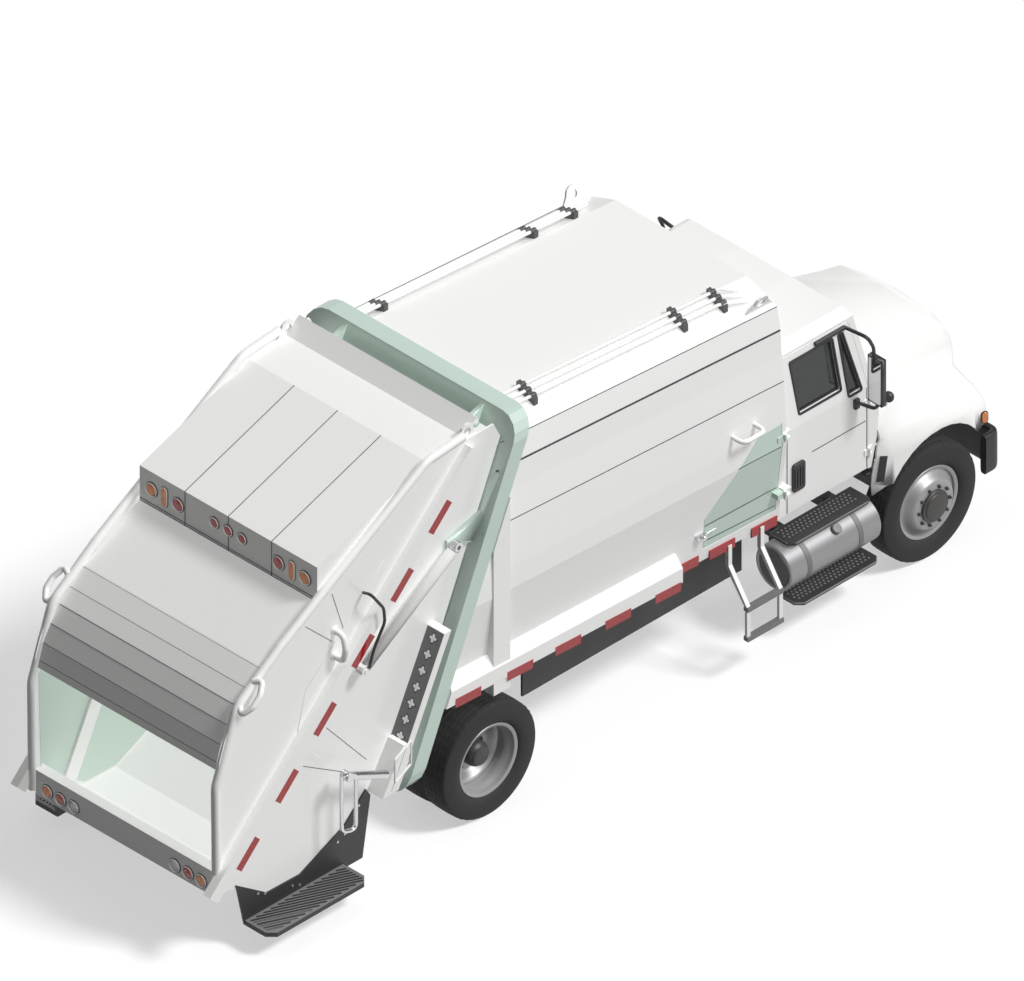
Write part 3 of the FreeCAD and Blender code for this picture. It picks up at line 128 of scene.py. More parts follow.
def makeGrainGroup():
    # Fine height grain, stretched along one axis by Stretch.
    group, start, end = newGroup(
        "surfaceGrain",
        (("Vector", "NodeSocketVector", None), ("Scale", "NodeSocketFloat", 60.0),
         ("Stretch", "NodeSocketVector", (1, 1, 1))),
        (("Height", "NodeSocketFloat"),),
    )
    stretch = addNode(group, "ShaderNodeVectorMath", operation="MULTIPLY")
    noise = addNode(group, "ShaderNodeTexNoise", {"Detail": 3.0, "Roughness": 0.55})
    link = group.links.new
    link(start.outputs["Vector"], stretch.inputs[0])
    link(start.outputs["Stretch"], stretch.inputs[1])
    link(stretch.outputs["Vector"], noise.inputs["Vector"])
    link(start.outputs["Scale"], noise.inputs["Scale"])
    link(noise.outputs["Fac"], end.inputs["Height"])
    return group


ageGroup = makeAgeGroup()
grainGroup = makeGrainGroup()
dustColor = (0.36, 0.33, 0.29, 1)


def surface(name, paint, gloss, metallic=0.0, age=0.1, grain=60.0, bump=0.05, stretch=(1, 1, 1), dustTop=1.4,
            **sockets):
    # Paint, plastic or metal with age and grain; dust reaches up to dustTop metres over the ground.
    material = bpy.data.materials.new(name)
    material.use_nodes = True
    tree = material.node_tree
    shader = tree.nodes["Principled BSDF"]
    where = addNode(tree, "ShaderNodeTexCoord")
    aged = addNode(tree, "ShaderNodeGroup", node_tree=ageGroup)
    aged.inputs["Paint"].default_value = (*paint, 1)
    aged.inputs["Dust"].default_value = dustColor
    aged.inputs["Amount"].default_value = age
    aged.inputs["Gloss"].default_value = gloss
    aged.inputs["DustTop"].default_value = dustTop
    grained = addNode(tree, "ShaderNodeGroup", node_tree=grainGroup)
    grained.inputs["Scale"].default_value = grain
    grained.inputs["Stretch"].default_value = stretch
    raised = addNode(tree, "ShaderNodeBump", {"Strength": bump, "Distance": 0.002})
    link = tree.links.new
    link(where.outputs["Object"], aged.inputs["Vector"])
    link(where.outputs["Object"], grained.inputs["Vector"])
    link(aged.outputs["Color"], shader.inputs["Base Color"])
    link(aged.outputs["Roughness"], shader.inputs["Roughness"])
    link(grained.outputs["Height"], raised.inputs["Height"])
    link(raised.outputs["Normal"], shader.inputs["Normal"])
    shader.inputs["Metallic"].default_value = metallic
    for key, value in sockets.items():
        shader.inputs[key].default_value = value
    return material


finishes = {
    # finish: colour, roughness, metallic, age, grain scale, bump
    "whitePaint": ((0.84, 0.84, 0.83), 0.34, 0.0, 0.05, 90.0, 0.03),
    "greenPaint": ((0.52, 0.64, 0.57), 0.36, 0.0, 0.06, 90.0, 0.03),
    "blackPaint": ((0.014, 0.014, 0.015), 0.5, 0.0, 0.04, 70.0, 0.08),
    "darkSteel": ((0.085, 0.085, 0.088), 0.5, 0.3, 0.12, 120.0, 0.15),
    "castGrey": ((0.20, 0.20, 0.205), 0.6, 0.5, 0.2, 140.0, 0.3),
    "tankSteel": ((0.30, 0.30, 0.31), 0.42, 0.45, 0.10, 40.0, 0.10),
    "rimSilver": ((0.34, 0.34, 0.35), 0.42, 0.35, 0.12, 110.0, 0.08),
    "hubGrey": ((0.032, 0.032, 0.033), 0.45, 0.2, 0.12, 90.0, 0.12),
    # this grey is the own colour of steps, rungs, straps and grille, and also serves as painted shade on the
    # channel's rear face
    "stepGreyAndShade": ((0.17, 0.17, 0.175), 0.55, 0.3, 0.12, 120.0, 0.15),
    "palePaint": ((0.56, 0.67, 0.60), 0.4, 0.0, 0.06, 90.0, 0.03),
    "brightSteel": ((0.62, 0.62, 0.63), 0.22, 0.95, 0.04, 60.0, 0.04),
    "rubber": ((0.011, 0.011, 0.012), 0.8, 0.0, 0.05, 160.0, 0.25),
    "blackPlastic": ((0.016, 0.016, 0.017), 0.5, 0.0, 0.06, 240.0, 0.2),
    "seatCloth": ((0.045, 0.046, 0.05), 0.85, 0.0, 0.05, 400.0, 0.4),
    "seamShade": ((0.03, 0.03, 0.03), 0.7, 0.0, 0.0, 60.0, 0.02),
}
paints = {}
for finishName, (paint, gloss, metallic, age, grain, bump) in finishes.items():
    paints[finishName] = surface(finishName, paint, gloss, metallic, age, grain, bump)


def setCoat(finish, weight):
    paints[finish].node_tree.nodes["Principled BSDF"].inputs["Coat Weight"].default_value = weight


setCoat("whitePaint", 0.25)
setCoat("greenPaint", 0.25)


def lensMaterial(name, tint, glow):
    # A moulded lens: small square prisms as bump over a saturated plastic.
    material = surface(name, tint, 0.12, 0.0, 0.0, 300.0, 0.1, **{"Coat Weight": 0.6})
    tree = material.node_tree
    shader = tree.nodes["Principled BSDF"]
    where = [node for node in tree.nodes if node.type == "TEX_COORD"][0]
    prisms = addNode(tree, "ShaderNodeTexChecker", {"Scale": 130.0})
    raised = [node for node in tree.nodes if node.type == "BUMP"][0]
    raised.inputs["Strength"].default_value = 0.5
    tree.links.new(where.outputs["Object"], prisms.inputs["Vector"])
    tree.links.new(prisms.outputs["Fac"], raised.inputs["Height"])
    shader.inputs["Emission Color"].default_value = (*tint, 1)
    shader.inputs["Emission Strength"].default_value = glow
    return material


paints["redLens"] = lensMaterial("redLens", (0.42, 0.02, 0.018), 0.08)
paints["amberLens"] = lensMaterial("amberLens", (0.72, 0.20, 0.02), 0.08)
paints["clearLens"] = lensMaterial("clearLens", (0.80, 0.80, 0.78), 0.0)
# The reflectors glow a little although they are not lamps: painted light.
paints["reflector"] = lensMaterial("reflector", (0.34, 0.009, 0.012), 0.02)
setCoat("reflector", 0.1)
paints["glass"] = surface("glass", (0.045, 0.048, 0.05), 0.06, 0.0, 0.0, 20.0, 0.0,
                          **{"Transmission Weight": 0.35, "IOR": 1.45})
paints["mirrorGlass"] = surface("mirrorGlass", (0.7, 0.71, 0.72), 0.04, 1.0, 0.0, 20.0, 0.0)

nodeFinish = {
    "blackPaint": ("frame", "side_skirts", "front_axle", "rear_axle", "drive_shaft", "exhaust",
                   "front_bumper", "knuckle_right", "knuckle_left", "rear_steps"),
    "castGrey": ("engine", "radiator"),
    "tankSteel": ("fuel_tank",),
    "blackPlastic": ("tank_steps", "battery_box"),
    "darkSteel": ("roof_pipes",),
    "whitePaint": ("cab_shell", "door_right", "door_left", "hood", "body_side_right", "body_side_left",
                   "body_roof", "body_front", "body_floor", "tail_sides", "hopper_floor", "tail_cover",
                   "tail_roof", "ladder", "tail_bumper", "lift_barrel_right", "lift_barrel_left"),
    "greenPaint": ("body_ring", "access_door"),
    "hubGrey": ("mirror_right", "mirror_left", "dashboard", "grille"),
    "seatCloth": ("seats",),
    "glass": ("cab_glass", "door_glass_right", "door_glass_left"),
    "redLens": ("tail_lamps",),
    "clearLens": ("head_lamps",),
    "rubber": ("tyre_front_right", "tyre_front_left", "tyre_rear_right", "tyre_rear_left"),
    "rimSilver": ("rim_front_right", "rim_front_left", "rim_rear_right", "rim_rear_left"),
    "brightSteel": ("lift_rod_right", "lift_rod_left"),
}
for finishName, names in nodeFinish.items():
    for name in names:
        data = nodes[name].data
        data.materials.clear()
        data.materials.append(paints[finishName])
print("materials on the CAD nodes")


# mesh helpers

def makePiece(name, parts, finish, body, smooth=30.0):
    # Joins (points, faces) pairs into one piece; faces that meet under the smooth angle shade as one.
    points, faces, shift = [], [], 0
    for partPoints, partFaces in parts:
        points.append(np.asarray(partPoints, float).reshape(-1, 3))
        faces += [tuple(int(index) + shift for index in face) for face in partFaces]
        shift += len(points[-1])
    mesh = bpy.data.meshes.new(name)
    mesh.from_pydata(np.concatenate(points).tolist(), [], faces)
    shell = bmesh.new()
    shell.from_mesh(mesh)
    bmesh.ops.recalc_face_normals(shell, faces=shell.faces)
    shell.to_mesh(mesh)
    shell.free()
    mesh.materials.append(paints[finish])
    if smooth:
        mesh.shade_smooth()
        mesh.set_sharp_from_angle(angle=math.radians(smooth))
    piece = bpy.data.objects.new(name, mesh)
    bpy.context.scene.collection.objects.link(piece)
    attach(piece, body)
    return piece


def gridFaces(rows, columns, closeRows=False, closeColumns=False):
    # Quads of a grid of rows by columns of points, closed round one or both ways.
    row = np.arange(rows if closeRows else rows - 1)
    column = np.arange(columns if closeColumns else columns - 1)
    r, c = np.meshgrid(row, column, indexing="ij")
    r2, c2 = (r + 1) % rows, (c + 1) % columns
    corners = np.stack([r * columns + c, r * columns + c2, r2 * columns + c2, r2 * columns + c], axis=-1)
    return corners.reshape(-1, 4).tolist()


def turned(profile, centre, axis=(0, 1, 0), segments=48, closed=True):
    # A profile of (along the axis, radius) points turned about an axis through the centre:
    # point = centre + along * axis + radius * (cos u * across + sin u * upward).
    axis = np.array(axis, float) / np.linalg.norm(axis)
    across = np.cross(axis, (0, 0, 1) if abs(axis[2]) < 0.9 else (1, 0, 0))
    across /= np.linalg.norm(across)
    upward = np.cross(axis, across)
    profile = np.array(profile, float)
    u = np.linspace(0, 2 * math.pi, segments, endpoint=False)
    ring = np.cos(u)[:, None] * across + np.sin(u)[:, None] * upward
    points = (np.array(centre, float) + profile[None, :, :1] * axis + profile[None, :, 1:] * ring[:, None, :])
    return points.reshape(-1, 3), gridFaces(segments, len(profile), True, closed)


def tube(path, radius, sides=10, closed=False):
    # A circle carried along a path; each ring lies square to the path, turned as little as possible.
    path = np.array(path, float)
    ahead = np.roll(path, -1, axis=0) - np.roll(path, 1, axis=0)
    if not closed:
        ahead[0], ahead[-1] = path[1] - path[0], path[-1] - path[-2]
    ahead /= np.linalg.norm(ahead, axis=1)[:, None]
    first = np.cross(ahead[0], (0, 0, 1) if abs(ahead[0][2]) < 0.9 else (1, 0, 0))
    across = [first / np.linalg.norm(first)]
    for way in ahead[1:]:
        turn = across[-1] - way * np.dot(across[-1], way)
        across.append(turn / np.linalg.norm(turn))
    across = np.array(across)
    upward = np.cross(ahead, across)
    u = np.linspace(0, 2 * math.pi, sides, endpoint=False)
    radii = np.broadcast_to(np.asarray(radius, float), (len(path),))[:, None, None]
    ring = np.cos(u)[None, :, None] * across[:, None, :] + np.sin(u)[None, :, None] * upward[:, None, :]
    points = path[:, None, :] + radii * ring
    faces = gridFaces(len(path), sides, closed, True)
    if not closed:
        faces.append(tuple(range(sides))[::-1])
        faces.append(tuple(range((len(path) - 1) * sides, len(path) * sides)))
    return points.reshape(-1, 3), faces


def rounded(corners, bend, steps=6):
    # A path of straight runs whose corners are parabolas, each as long as an arc of the bend's radius.
    corners = np.array(corners, float)
    path = [corners[0]]
    for before, corner, after in zip(corners, corners[1:], corners[2:]):
        back, on = before - corner, after - corner
        lengths = np.linalg.norm(back), np.linalg.norm(on)
        back, on = back / lengths[0], on / lengths[1]
        half = math.acos(np.clip(np.dot(back, on), -1, 1)) / 2
        reach = min(bend / math.tan(half), 0.45 * min(lengths))
        t = np.linspace(0, 1, steps)[:, None]
        start, end = corner + back * reach, corner + on * reach
        path += list((1 - t) ** 2 * start + 2 * t * (1 - t) * corner + t ** 2 * end)
    path.append(corners[-1])
    return np.array(path)


def plateShape(outline, axis, low, high, chamfer=0.002):
    # An outline carried along an axis, its rims drawn in by a small chamfer at both faces.
    outline = np.array(outline, float)
    middle = outline.mean(axis=0)
    inward = middle - outline
    inward /= np.linalg.norm(inward, axis=1)[:, None]
    levels = ((low, chamfer), (low + chamfer, 0), (high - chamfer, 0), (high, chamfer))
    rings = []
    for level, draw in levels:
        flat = outline + inward * draw
        rings.append(np.insert(flat, axis, level, axis=1))
    count = len(outline)
    faces = gridFaces(len(levels), count, False, True)
    faces.append(tuple(range(count)))
    faces.append(tuple(range(3 * count, 4 * count)))
    return np.concatenate(rings), faces


def block(low, high, chamfer=0.003):
    # A box with chamfered rims along its thinnest way.
    low, high = np.minimum(low, high), np.maximum(low, high)
    axis = int(np.argmin(np.array(high) - np.array(low)))
    a, b = [index for index in range(3) if index != axis]
    outline = [(low[a], low[b]), (high[a], low[b]), (high[a], high[b]), (low[a], high[b])]
    return plateShape(outline, axis, low[axis], high[axis], chamfer)


def copies(part, shifts):
    points, faces = part
    return [(np.asarray(points) + np.array(shift), faces) for shift in shifts]


def facePlate(outline, centre, across, upward, thick, chamfer=0.001):
    # An outline of (across, upward) points on any plane through the centre, 'thick' deep along its normal.
    points, faces = plateShape(outline, 2, 0.0, thick, chamfer)
    across = np.array(across, float) / np.linalg.norm(across)
    upward = np.array(upward, float) - across * np.dot(across, upward)
    upward /= np.linalg.norm(upward)
    outward = np.cross(across, upward)
    grid = points[:, :1] * across + points[:, 1:2] * upward + points[:, 2:] * outward
    return grid + np.array(centre, float), faces


def rectangle(halfWide, halfHigh):
    return [(-halfWide, -halfHigh), (halfWide, -halfHigh), (halfWide, halfHigh), (-halfWide, halfHigh)]


def stadiumBox(halfWide, halfHigh, bend, count=5):
    # A rectangle whose corners are quarter circles.
    points = []
    for a, c, start in ((1, 1, 0), (-1, 1, 90), (-1, -1, 180), (1, -1, 270)):
        u = np.radians(start + np.linspace(0, 90, count))
        points += list(zip(a * (halfWide - bend) + bend * np.cos(u),
                           c * (halfHigh - bend) + bend * np.sin(u)))
    return points


def roundOutline(radius, count=16, lobes=0, wave=0.0):
    # Points at radius * (1 + wave * cos(lobes * u)) round a centre.
    u = np.linspace(0, 2 * math.pi, count, endpoint=False)
    reach = radius * (1 + wave * np.cos(lobes * u))
    return np.stack([reach * np.cos(u), reach * np.sin(u)], axis=1)


def onSide(side, points):
    # Points given with Y as the distance out from the centre plane, put on one side of the truck.
    return place(points) * (1, side, 1)


def spot(side, x, out, up):
    return onSide(side, [(x, out, up)])[0]


def knob(profile, centre, axis, segments):
    # A turned piece whose profile starts or ends at the axis, so that it isn't a ring.
    return turned(profile, centre, axis=axis, segments=segments, closed=False)


def blockAt(low, high, chamfer):
    return block(*place([low, high]), chamfer)


def mirrorPart(part, side):
    points, faces = part
    return np.asarray(points) * (1, side, 1), faces


def sidePlate(side, view, inner, outer, chamfer):
    # An upright plate from its side view of (forward, up) points.
    outline = place([(x, 0, z) for x, z in view])[:, (0, 2)]
    return mirrorPart(plateShape(outline, 1, inner, outer, chamfer), side)


def smoothCopy(node, angle):
    # The node's own form as one merged skin, shaded smooth wherever its faces meet at less than the angle.
    mesh = nodes[node].data.copy()
    mesh.name = f"{node}_skin"
    shell = bmesh.new()
    shell.from_mesh(mesh)
    bmesh.ops.remove_doubles(shell, verts=shell.verts, dist=2e-5)
    shell.to_mesh(mesh)
    shell.free()
    mesh.shade_smooth()
    mesh.set_sharp_from_angle(angle=math.radians(angle))
    piece = bpy.data.objects.new(f"{node}_skin", mesh)
    bpy.context.scene.collection.objects.link(piece)
    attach(piece, bodyOf[node])
    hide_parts(node)
    return piece


seamSides = 6  # a thin seam is a six-sided rod
smoothAngles = {
    "hood": 38, "body_ring": 30, "exhaust": 50, "mirror_right": 62, "mirror_left": 62, "rear_axle": 35,
    "front_axle": 35, "lift_barrel_right": 38, "lift_barrel_left": 38, "lift_rod_right": 38,
    "lift_rod_left": 38, "dashboard": 62,
}
for node, angle in smoothAngles.items():
    smoothCopy(node, angle)
print("smooth skins")


# wheels

tyreLook = {
    "segments": 132,
    "grooveDepth": 0.014,
    "grooveHalf": 0.006,
    "grooves": (-0.62, -0.21, 0.21, 0.62),
    "section": [
        # side wall: share of the half width, share of the wall's height from bead to shoulder
        (0.66, 0.0), (0.70, 0.09), (0.80, 0.13), (0.90, 0.19), (0.98, 0.33), (1.0, 0.45), (0.99, 0.58),
        (0.95, 0.76), (0.90, 0.90), (0.86, 0.955), (0.80, 0.985),
    ],
    "treadShare": 0.80,
    "crown": 0.004,
    "wall": 0.225,
    "sipe": {"deep": 0.006, "within": 0.006, "every": 3},
}


def tyreProfile(halfWidth, outerRadius, innerRadius):
    # A ring of (across, radius) points: beads, bulging side walls, shoulders, a crown with four grooves.
    treadHalf = tyreLook["treadShare"] * halfWidth
    wall = outerRadius - innerRadius
    left = [(-x * halfWidth, innerRadius + wall * r) for x, r in tyreLook["section"]]
    half, foot = tyreLook["grooveHalf"], tyreLook["grooveHalf"] * 0.6
    crown = []
    for groove in tyreLook["grooves"]:
        middle = groove * treadHalf
        top = outerRadius - tyreLook["crown"] * groove ** 2
        low = top - tyreLook["grooveDepth"]
        crown += [(middle - half, top), (middle - foot, low), (middle + foot, low), (middle + half, top)]
    right = [(-x, r) for x, r in left[::-1]]
    return np.array(left + crown + right)


def makeTyre(name, node, middles, body):
    low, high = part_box(node)
    outerRadius = (high.z - low.z) / 2
    centre = np.array(((low.x + high.x) / 2, 0, (low.z + high.z) / 2))
    segments, sipe = tyreLook["segments"], tyreLook["sipe"]
    profile = tyreProfile(tyreSection / 2, outerRadius, outerRadius - tyreLook["wall"])
    parts = []
    for middle in middles:
        points, faces = turned(profile, centre + (0, middle, 0), segments=segments)
        grid = points.reshape(segments, -1, 3)
        # sipes: every third step of the ribs and shoulders lies a little lower
        radial = grid - (centre + (0, middle, 0))
        radial[:, :, 1] = 0
        length = np.linalg.norm(radial, axis=2, keepdims=True)
        step = (np.arange(segments) % sipe["every"] == 0)[:, None, None]
        onTread = length > outerRadius - sipe["within"]
        grid = grid - radial / length * sipe["deep"] * (step & onTread)
        parts.append((grid.reshape(-1, 3), faces))
    piece = makePiece(name, parts, "rubber", body, smooth=35.0)
    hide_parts(node)


tyreSection = float(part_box("tyre_front_right")[1].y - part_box("tyre_front_right")[0].y)
for name, side in sides.items():
    low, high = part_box(f"tyre_front_{name}")
    makeTyre(f"front_tyre_{name}", f"tyre_front_{name}", [(low.y + high.y) / 2], f"wheel_front_{name}")
    low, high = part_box(f"tyre_rear_{name}")
    middles = [low.y + tyreSection / 2, high.y - tyreSection / 2]
    makeTyre(f"rear_tyres_{name}", f"tyre_rear_{name}", middles, f"wheel_rear_{name}")
print("tyres")

rimLook = {"radius": 0.33, "half": 0.112, "wall": 0.010, "face": 0.1675, "hole": 0.10, "bolting": 0.205}


def rimProfile():
    # Round flange lips and a drop centre, as one closed (along, radius) loop with an inner wall.
    half, radius, wall = rimLook["half"], rimLook["radius"], rimLook["wall"]
    outer = [(half, radius - 0.012), (half, radius - 0.003), (half - 0.004, radius),
             (half - 0.009, radius - 0.004), (half - 0.012, radius - 0.020), (half - 0.03, radius - 0.024),
             (half * 0.45, radius - 0.028), (half * 0.25, radius - 0.046)]
    inner = [(half * 0.2, radius - 0.046 - wall), (half * 0.5, radius - 0.038),
             (half - 0.035, radius - 0.034), (half - 0.010, radius - 0.030)]
    ring = [(x, r) for x, r in outer] + [(-x, r) for x, r in outer[::-1]]
    ring += [(-x, r) for x, r in inner[::-1]] + [(x, r) for x, r in inner]
    return np.array(ring)


def discProfile(way):
    # A bowl from the barrel to the bolting face: its slope follows half a cosine wave.
    t = np.linspace(0, 1, 9)
    start, end = rimLook["half"] - 0.03, rimLook["face"]
    along = start + (end - start) * (0.5 - 0.5 * np.cos(math.pi * t))
    radius = rimLook["radius"] - 0.036 - (rimLook["radius"] - 0.036 - rimLook["bolting"]) * t
    front = list(zip(along, radius)) + [(end, rimLook["hole"])]
    back = [(end - rimLook["wall"], rimLook["hole"])]
    back += [(a - rimLook["wall"], r - 0.004) for a, r in zip(along[::-1], radius[::-1])]
    return np.array([(way * a, r) for a, r in front + back])


hubLook = {
    # axle: (along from the outer wheel's middle, radius) out to the cap
    "front": ((0.02, 0.09), (0.15, 0.11), (0.169, 0.145), (0.186, 0.145), (0.192, 0.139), (0.192, 0.118),
              (0.202, 0.112), (0.206, 0.09), (0.2068, 0.002)),
    "rear": ((-0.19, 0.115), (-0.15, 0.13), (-0.146, 0.115), (-0.02, 0.112), (0.004, 0.104), (0.016, 0.09),
             (0.03, 0.086), (0.038, 0.07), (0.041, 0.002)),
}
wheelNuts = {"circle": 0.172, "count": 10, "size": 0.016, "long": 0.026}
wheelMiddles = {"front": ((0.0, 1),), "rear": ((0.0, -1), (-0.335, 1))}
trackOf = {"front": 1.007, "rear": 1.042}


def nutShape(size, long, way):
    # A six sided nut with a round stud through it: rings of six points, then a smaller round end.
    profile = [(0, size), (long * 0.6, size), (long * 0.7, size * 0.7), (long, size * 0.66),
               (long * 1.05, 0.001)]
    return turned([(along * way, radius) for along, radius in profile], (0, 0, 0), segments=6, closed=False)


for name, side in sides.items():
    for axle, middles in wheelMiddles.items():
        low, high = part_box(f"rim_{axle}_{name}")
        centre = np.array(((low.x + high.x) / 2, side * trackOf[axle], (low.z + high.z) / 2))
        body = f"wheel_{axle}_{name}"
        metal = []
        for middle, way in middles:
            shifted = centre + (0, side * middle, 0)
            metal.append(turned(rimProfile(), shifted, segments=72))
            metal.append(turned(discProfile(way * side), shifted, segments=72))
        wheel = makePiece(f"wheel_{axle}_{name}_metal", metal, "rimSilver", body, smooth=40)
        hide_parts(f"rim_{axle}_{name}")
        profile = [(side * along, radius) for along, radius in hubLook[axle]]
        makePiece(f"hub_{axle}_{name}", [turned(profile, centre, segments=56, closed=False)], "hubGrey", body,
                  smooth=40)
        outFace = rimLook["face"] if axle == "front" else -rimLook["face"] + rimLook["wall"]
        angles = np.arange(wheelNuts["count"]) * 2 * math.pi / wheelNuts["count"]
        ring = np.stack([np.cos(angles), np.zeros_like(angles), np.sin(angles)], axis=1) * wheelNuts["circle"]
        nuts = copies(nutShape(wheelNuts["size"], wheelNuts["long"], side),
                      ring + centre + (0, side * outFace, 0))
        makePiece(f"{axle}_wheel_nuts_{name}", nuts, "hubGrey", body, smooth=0)
print("rims, hubs and nuts")

# lamps and reflectors

lampBox = {"x": -6.807, "bezel": 0.013, "middle": (0, 3.10, 0.036)}
roundLamps = (
    # out from the centre plane, up, radius, finish
    (0.867, 3.07, 0.050, "amberLens"), (0.569, 3.07, 0.050, "redLens"), (0.157, 3.10, 0.036, "redLens"),
)


def domedLens(centre, radius, way=-1):
    # A shallow dome with moulded rings: height = h * (1 - (r / R)^2) plus a small ripple over r.
    r = np.linspace(radius, 0.0008, 14)
    dome = 0.008 + 0.008 * (1 - (r / radius) ** 2) + 0.0008 * np.cos(r * 900)
    along = np.concatenate([[0.0], dome])
    radii = np.concatenate([[radius], r])
    return turned(np.stack([along * way, radii], axis=1), centre, axis=(1, 0, 0), segments=28, closed=False)


def bezelRing(centre, radius, wide, way=-1):
    # A rounded ring: a half circle section turned about the lamp's axis.
    t = np.linspace(0, math.pi, 7)
    along = 0.014 * np.sin(t)
    radii = radius + wide / 2 - wide / 2 * np.cos(t)
    profile = np.stack([along * way, radii], axis=1)
    return turned(profile, centre, axis=(1, 0, 0), segments=28, closed=True)


def stadium(halfWide, halfHigh, count=7):
    # An upright slot with half round ends, as (across, up) points.
    t = np.linspace(0, math.pi, count)
    top = np.stack([halfWide * np.cos(t), halfHigh - halfWide + halfWide * np.sin(t)], axis=1)
    return np.concatenate([top, -top])


lensParts = {"amberLens": [], "redLens": [], "clearLens": []}
bezels = []
rims = []
oblong = {"out": 0.721, "up": 3.07, "halfWide": 0.024, "halfHigh": 0.085}
bumperLamps = {
    "x": -7.984, "up": 0.695, "radius": 0.046,
    "row": ((0.871, "amberLens"), (0.721, "redLens"), (0.572, "clearLens")),
}


def addLamp(centre, radius, finish):
    lensParts[finish].append(domedLens(centre, radius))
    bezels.append(bezelRing(centre, radius + 0.003, lampBox["bezel"]))
    rims.append(bezelRing(centre + (0.004, 0, 0), radius - 0.004, lampBox["bezel"] * 2))


for side in sides.values():
    for out, up, radius, finish in roundLamps:
        addLamp(spot(side, lampBox["x"], out, up), radius, finish)
    for grow, deep, parts in ((0.0, 0.018, lensParts["amberLens"]), (0.010, 0.013, bezels),
                              (0.016, 0.006, rims)):
        middle = (side * oblong["out"], oblong["up"])
        outline = stadium(oblong["halfWide"] + grow, oblong["halfHigh"] + grow) + middle
        parts.append(plateShape(outline, 0, lampBox["x"] + axleX - deep, lampBox["x"] + axleX, 0.003))
    for out, finish in bumperLamps["row"]:
        addLamp(spot(side, bumperLamps["x"], out, bumperLamps["up"]), bumperLamps["radius"], finish)
out, up, radius = lampBox["middle"]
addLamp(spot(1, lampBox["x"], out, up), radius, "redLens")
makePiece("tail_lamp_rims", rims, "blackPlastic", "tailgate")
for finish, parts in lensParts.items():
    piece = makePiece(f"tail_{finish}", parts, finish, "tailgate")
    if finish == "redLens":
        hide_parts("tail_lamps")
makePiece("tail_lamp_bezels", bezels, "whitePaint", "tailgate")

reflectorLook = {
    # distance out, size, depth, slope, and the places of the middles
    "sill": (
        (1.2165, (0.29, 0.085), 0.004, -0.047,
         ((-5.311, 1.329), (-4.723, 1.300), (-4.18, 1.273), (-3.614, 1.245), (-3.049, 1.217))),
        (1.101, (0.29, 0.085), 0.016, -0.047, ((-2.745, 1.270), (-2.333, 1.240), (-1.857, 1.218))),
    ),
    "beam": (
        (1.1305, (0.30, 0.075), 0.004, math.pi / 4,
         ((-7.715, 0.951), (-7.274, 1.396), (-6.844, 1.838), (-6.414, 2.289), (-5.973, 2.715),
          (-5.543, 3.166))),
    ),
}


def slantedPlate(centre, size, slope, side, deep):
    # A flat plate on an upright wall: its long way follows the slope in the wall's plane.
    along = np.array((math.cos(slope), math.sin(slope)))
    upward = np.array((-math.sin(slope), math.cos(slope)))
    half = np.array(size) / 2
    corners = [(-1, -1), (1, -1), (1, 1), (-1, 1)]
    middle = np.array((centre[0], centre[2]))
    outline = [middle + a * half[0] * along + b * half[1] * upward for a, b in corners]
    y0, y1 = sorted((side * centre[1], side * (centre[1] + deep)))
    return plateShape(outline, 1, y0, y1, 0.001)


for name, side in sides.items():
    for row, body in (("sill", "chassis"), ("beam", "tailgate")):
        parts = []
        for out, size, deep, slope, middles in reflectorLook[row]:
            parts += [slantedPlate((x + axleX, out, z), size, slope, side, deep) for x, z in middles]
        makePiece(f"{row}_reflectors_{name}", parts, "reflector", body)
print("lamps and reflectors")

# load body

bodySeams = {
    "front": -1.690,
    # out, height at the front, rise rearward for each metre, tube radius
    "rows": ((1.088, 3.280, 0.0742, 0.0035), (1.124, 3.067, 0.0688, 0.008), (1.1645, 2.588, 0.0584, 0.0035)),
}
ringPlane = {"x": -4.525, "up": 3.717, "lean": 0.431}
grabLook = {
    "rear": -2.285, "front": -2.035, "wall": 1.17, "reach": 1.31, "up": 2.345, "bend": 0.12, "radius": 0.020,
}


def ringFace(up):
    # X of the leaning ring's front face at a height.
    return ringPlane["x"] - ringPlane["lean"] * (ringPlane["up"] - up)


for name, side in sides.items():
    seams = []
    for out, high, rise, radius in bodySeams["rows"]:
        rear = (bodySeams["front"] - ringFace(high)) / (1 - rise * ringPlane["lean"])
        ends = [(bodySeams["front"], out, high), (bodySeams["front"] - rear, out, high + rise * rear)]
        seams.append(tube(onSide(side, ends), radius, seamSides))
    makePiece(f"body_seams_{name}", seams, "seamShade", "chassis")
    feet = [(x, grabLook["wall"], grabLook["up"]) for x in (grabLook["rear"], grabLook["front"])]
    corners = [(x, grabLook["reach"], grabLook["up"]) for x in (grabLook["rear"], grabLook["front"])]
    grab = rounded(onSide(side, [feet[0], corners[0], corners[1], feet[1]]), grabLook["bend"], 9)
    makePiece(f"body_grab_{name}", [tube(grab, grabLook["radius"], 14)], "whitePaint", "chassis")

pipeLook = {
    "radius": 0.015, "out": 0.79, "offsets": (0.0, 0.06, 0.12), "rear": -4.552, "front": -2.05, "bend": 0.07,
    "nose": -1.905, "noseOut": 0.058, "noseDrop": 0.052,  # the front ends turn outward and down
    "crown": {"x": -1.684, "up": 3.410, "rise": 0.0793}, "slant": 0.38, "lift": 0.045,
}
clampLook = {
    "places": (-2.15, -2.60, -4.30), "wide": 0.05, "inner": 0.745, "outer": 0.95,
    # below and above the crown's height, at the inner and the outer edge
    "innerUps": (-0.002, 0.063), "outerUps": (-0.076, -0.012), "collar": (0.016, 0.021), "collarLong": 0.058,
}


def roofHeight(x, drop):
    # Height over the roof's crown edge, which rises rearward, less a drop.
    crown = pipeLook["crown"]
    return crown["up"] + crown["rise"] * (crown["x"] - x) - drop


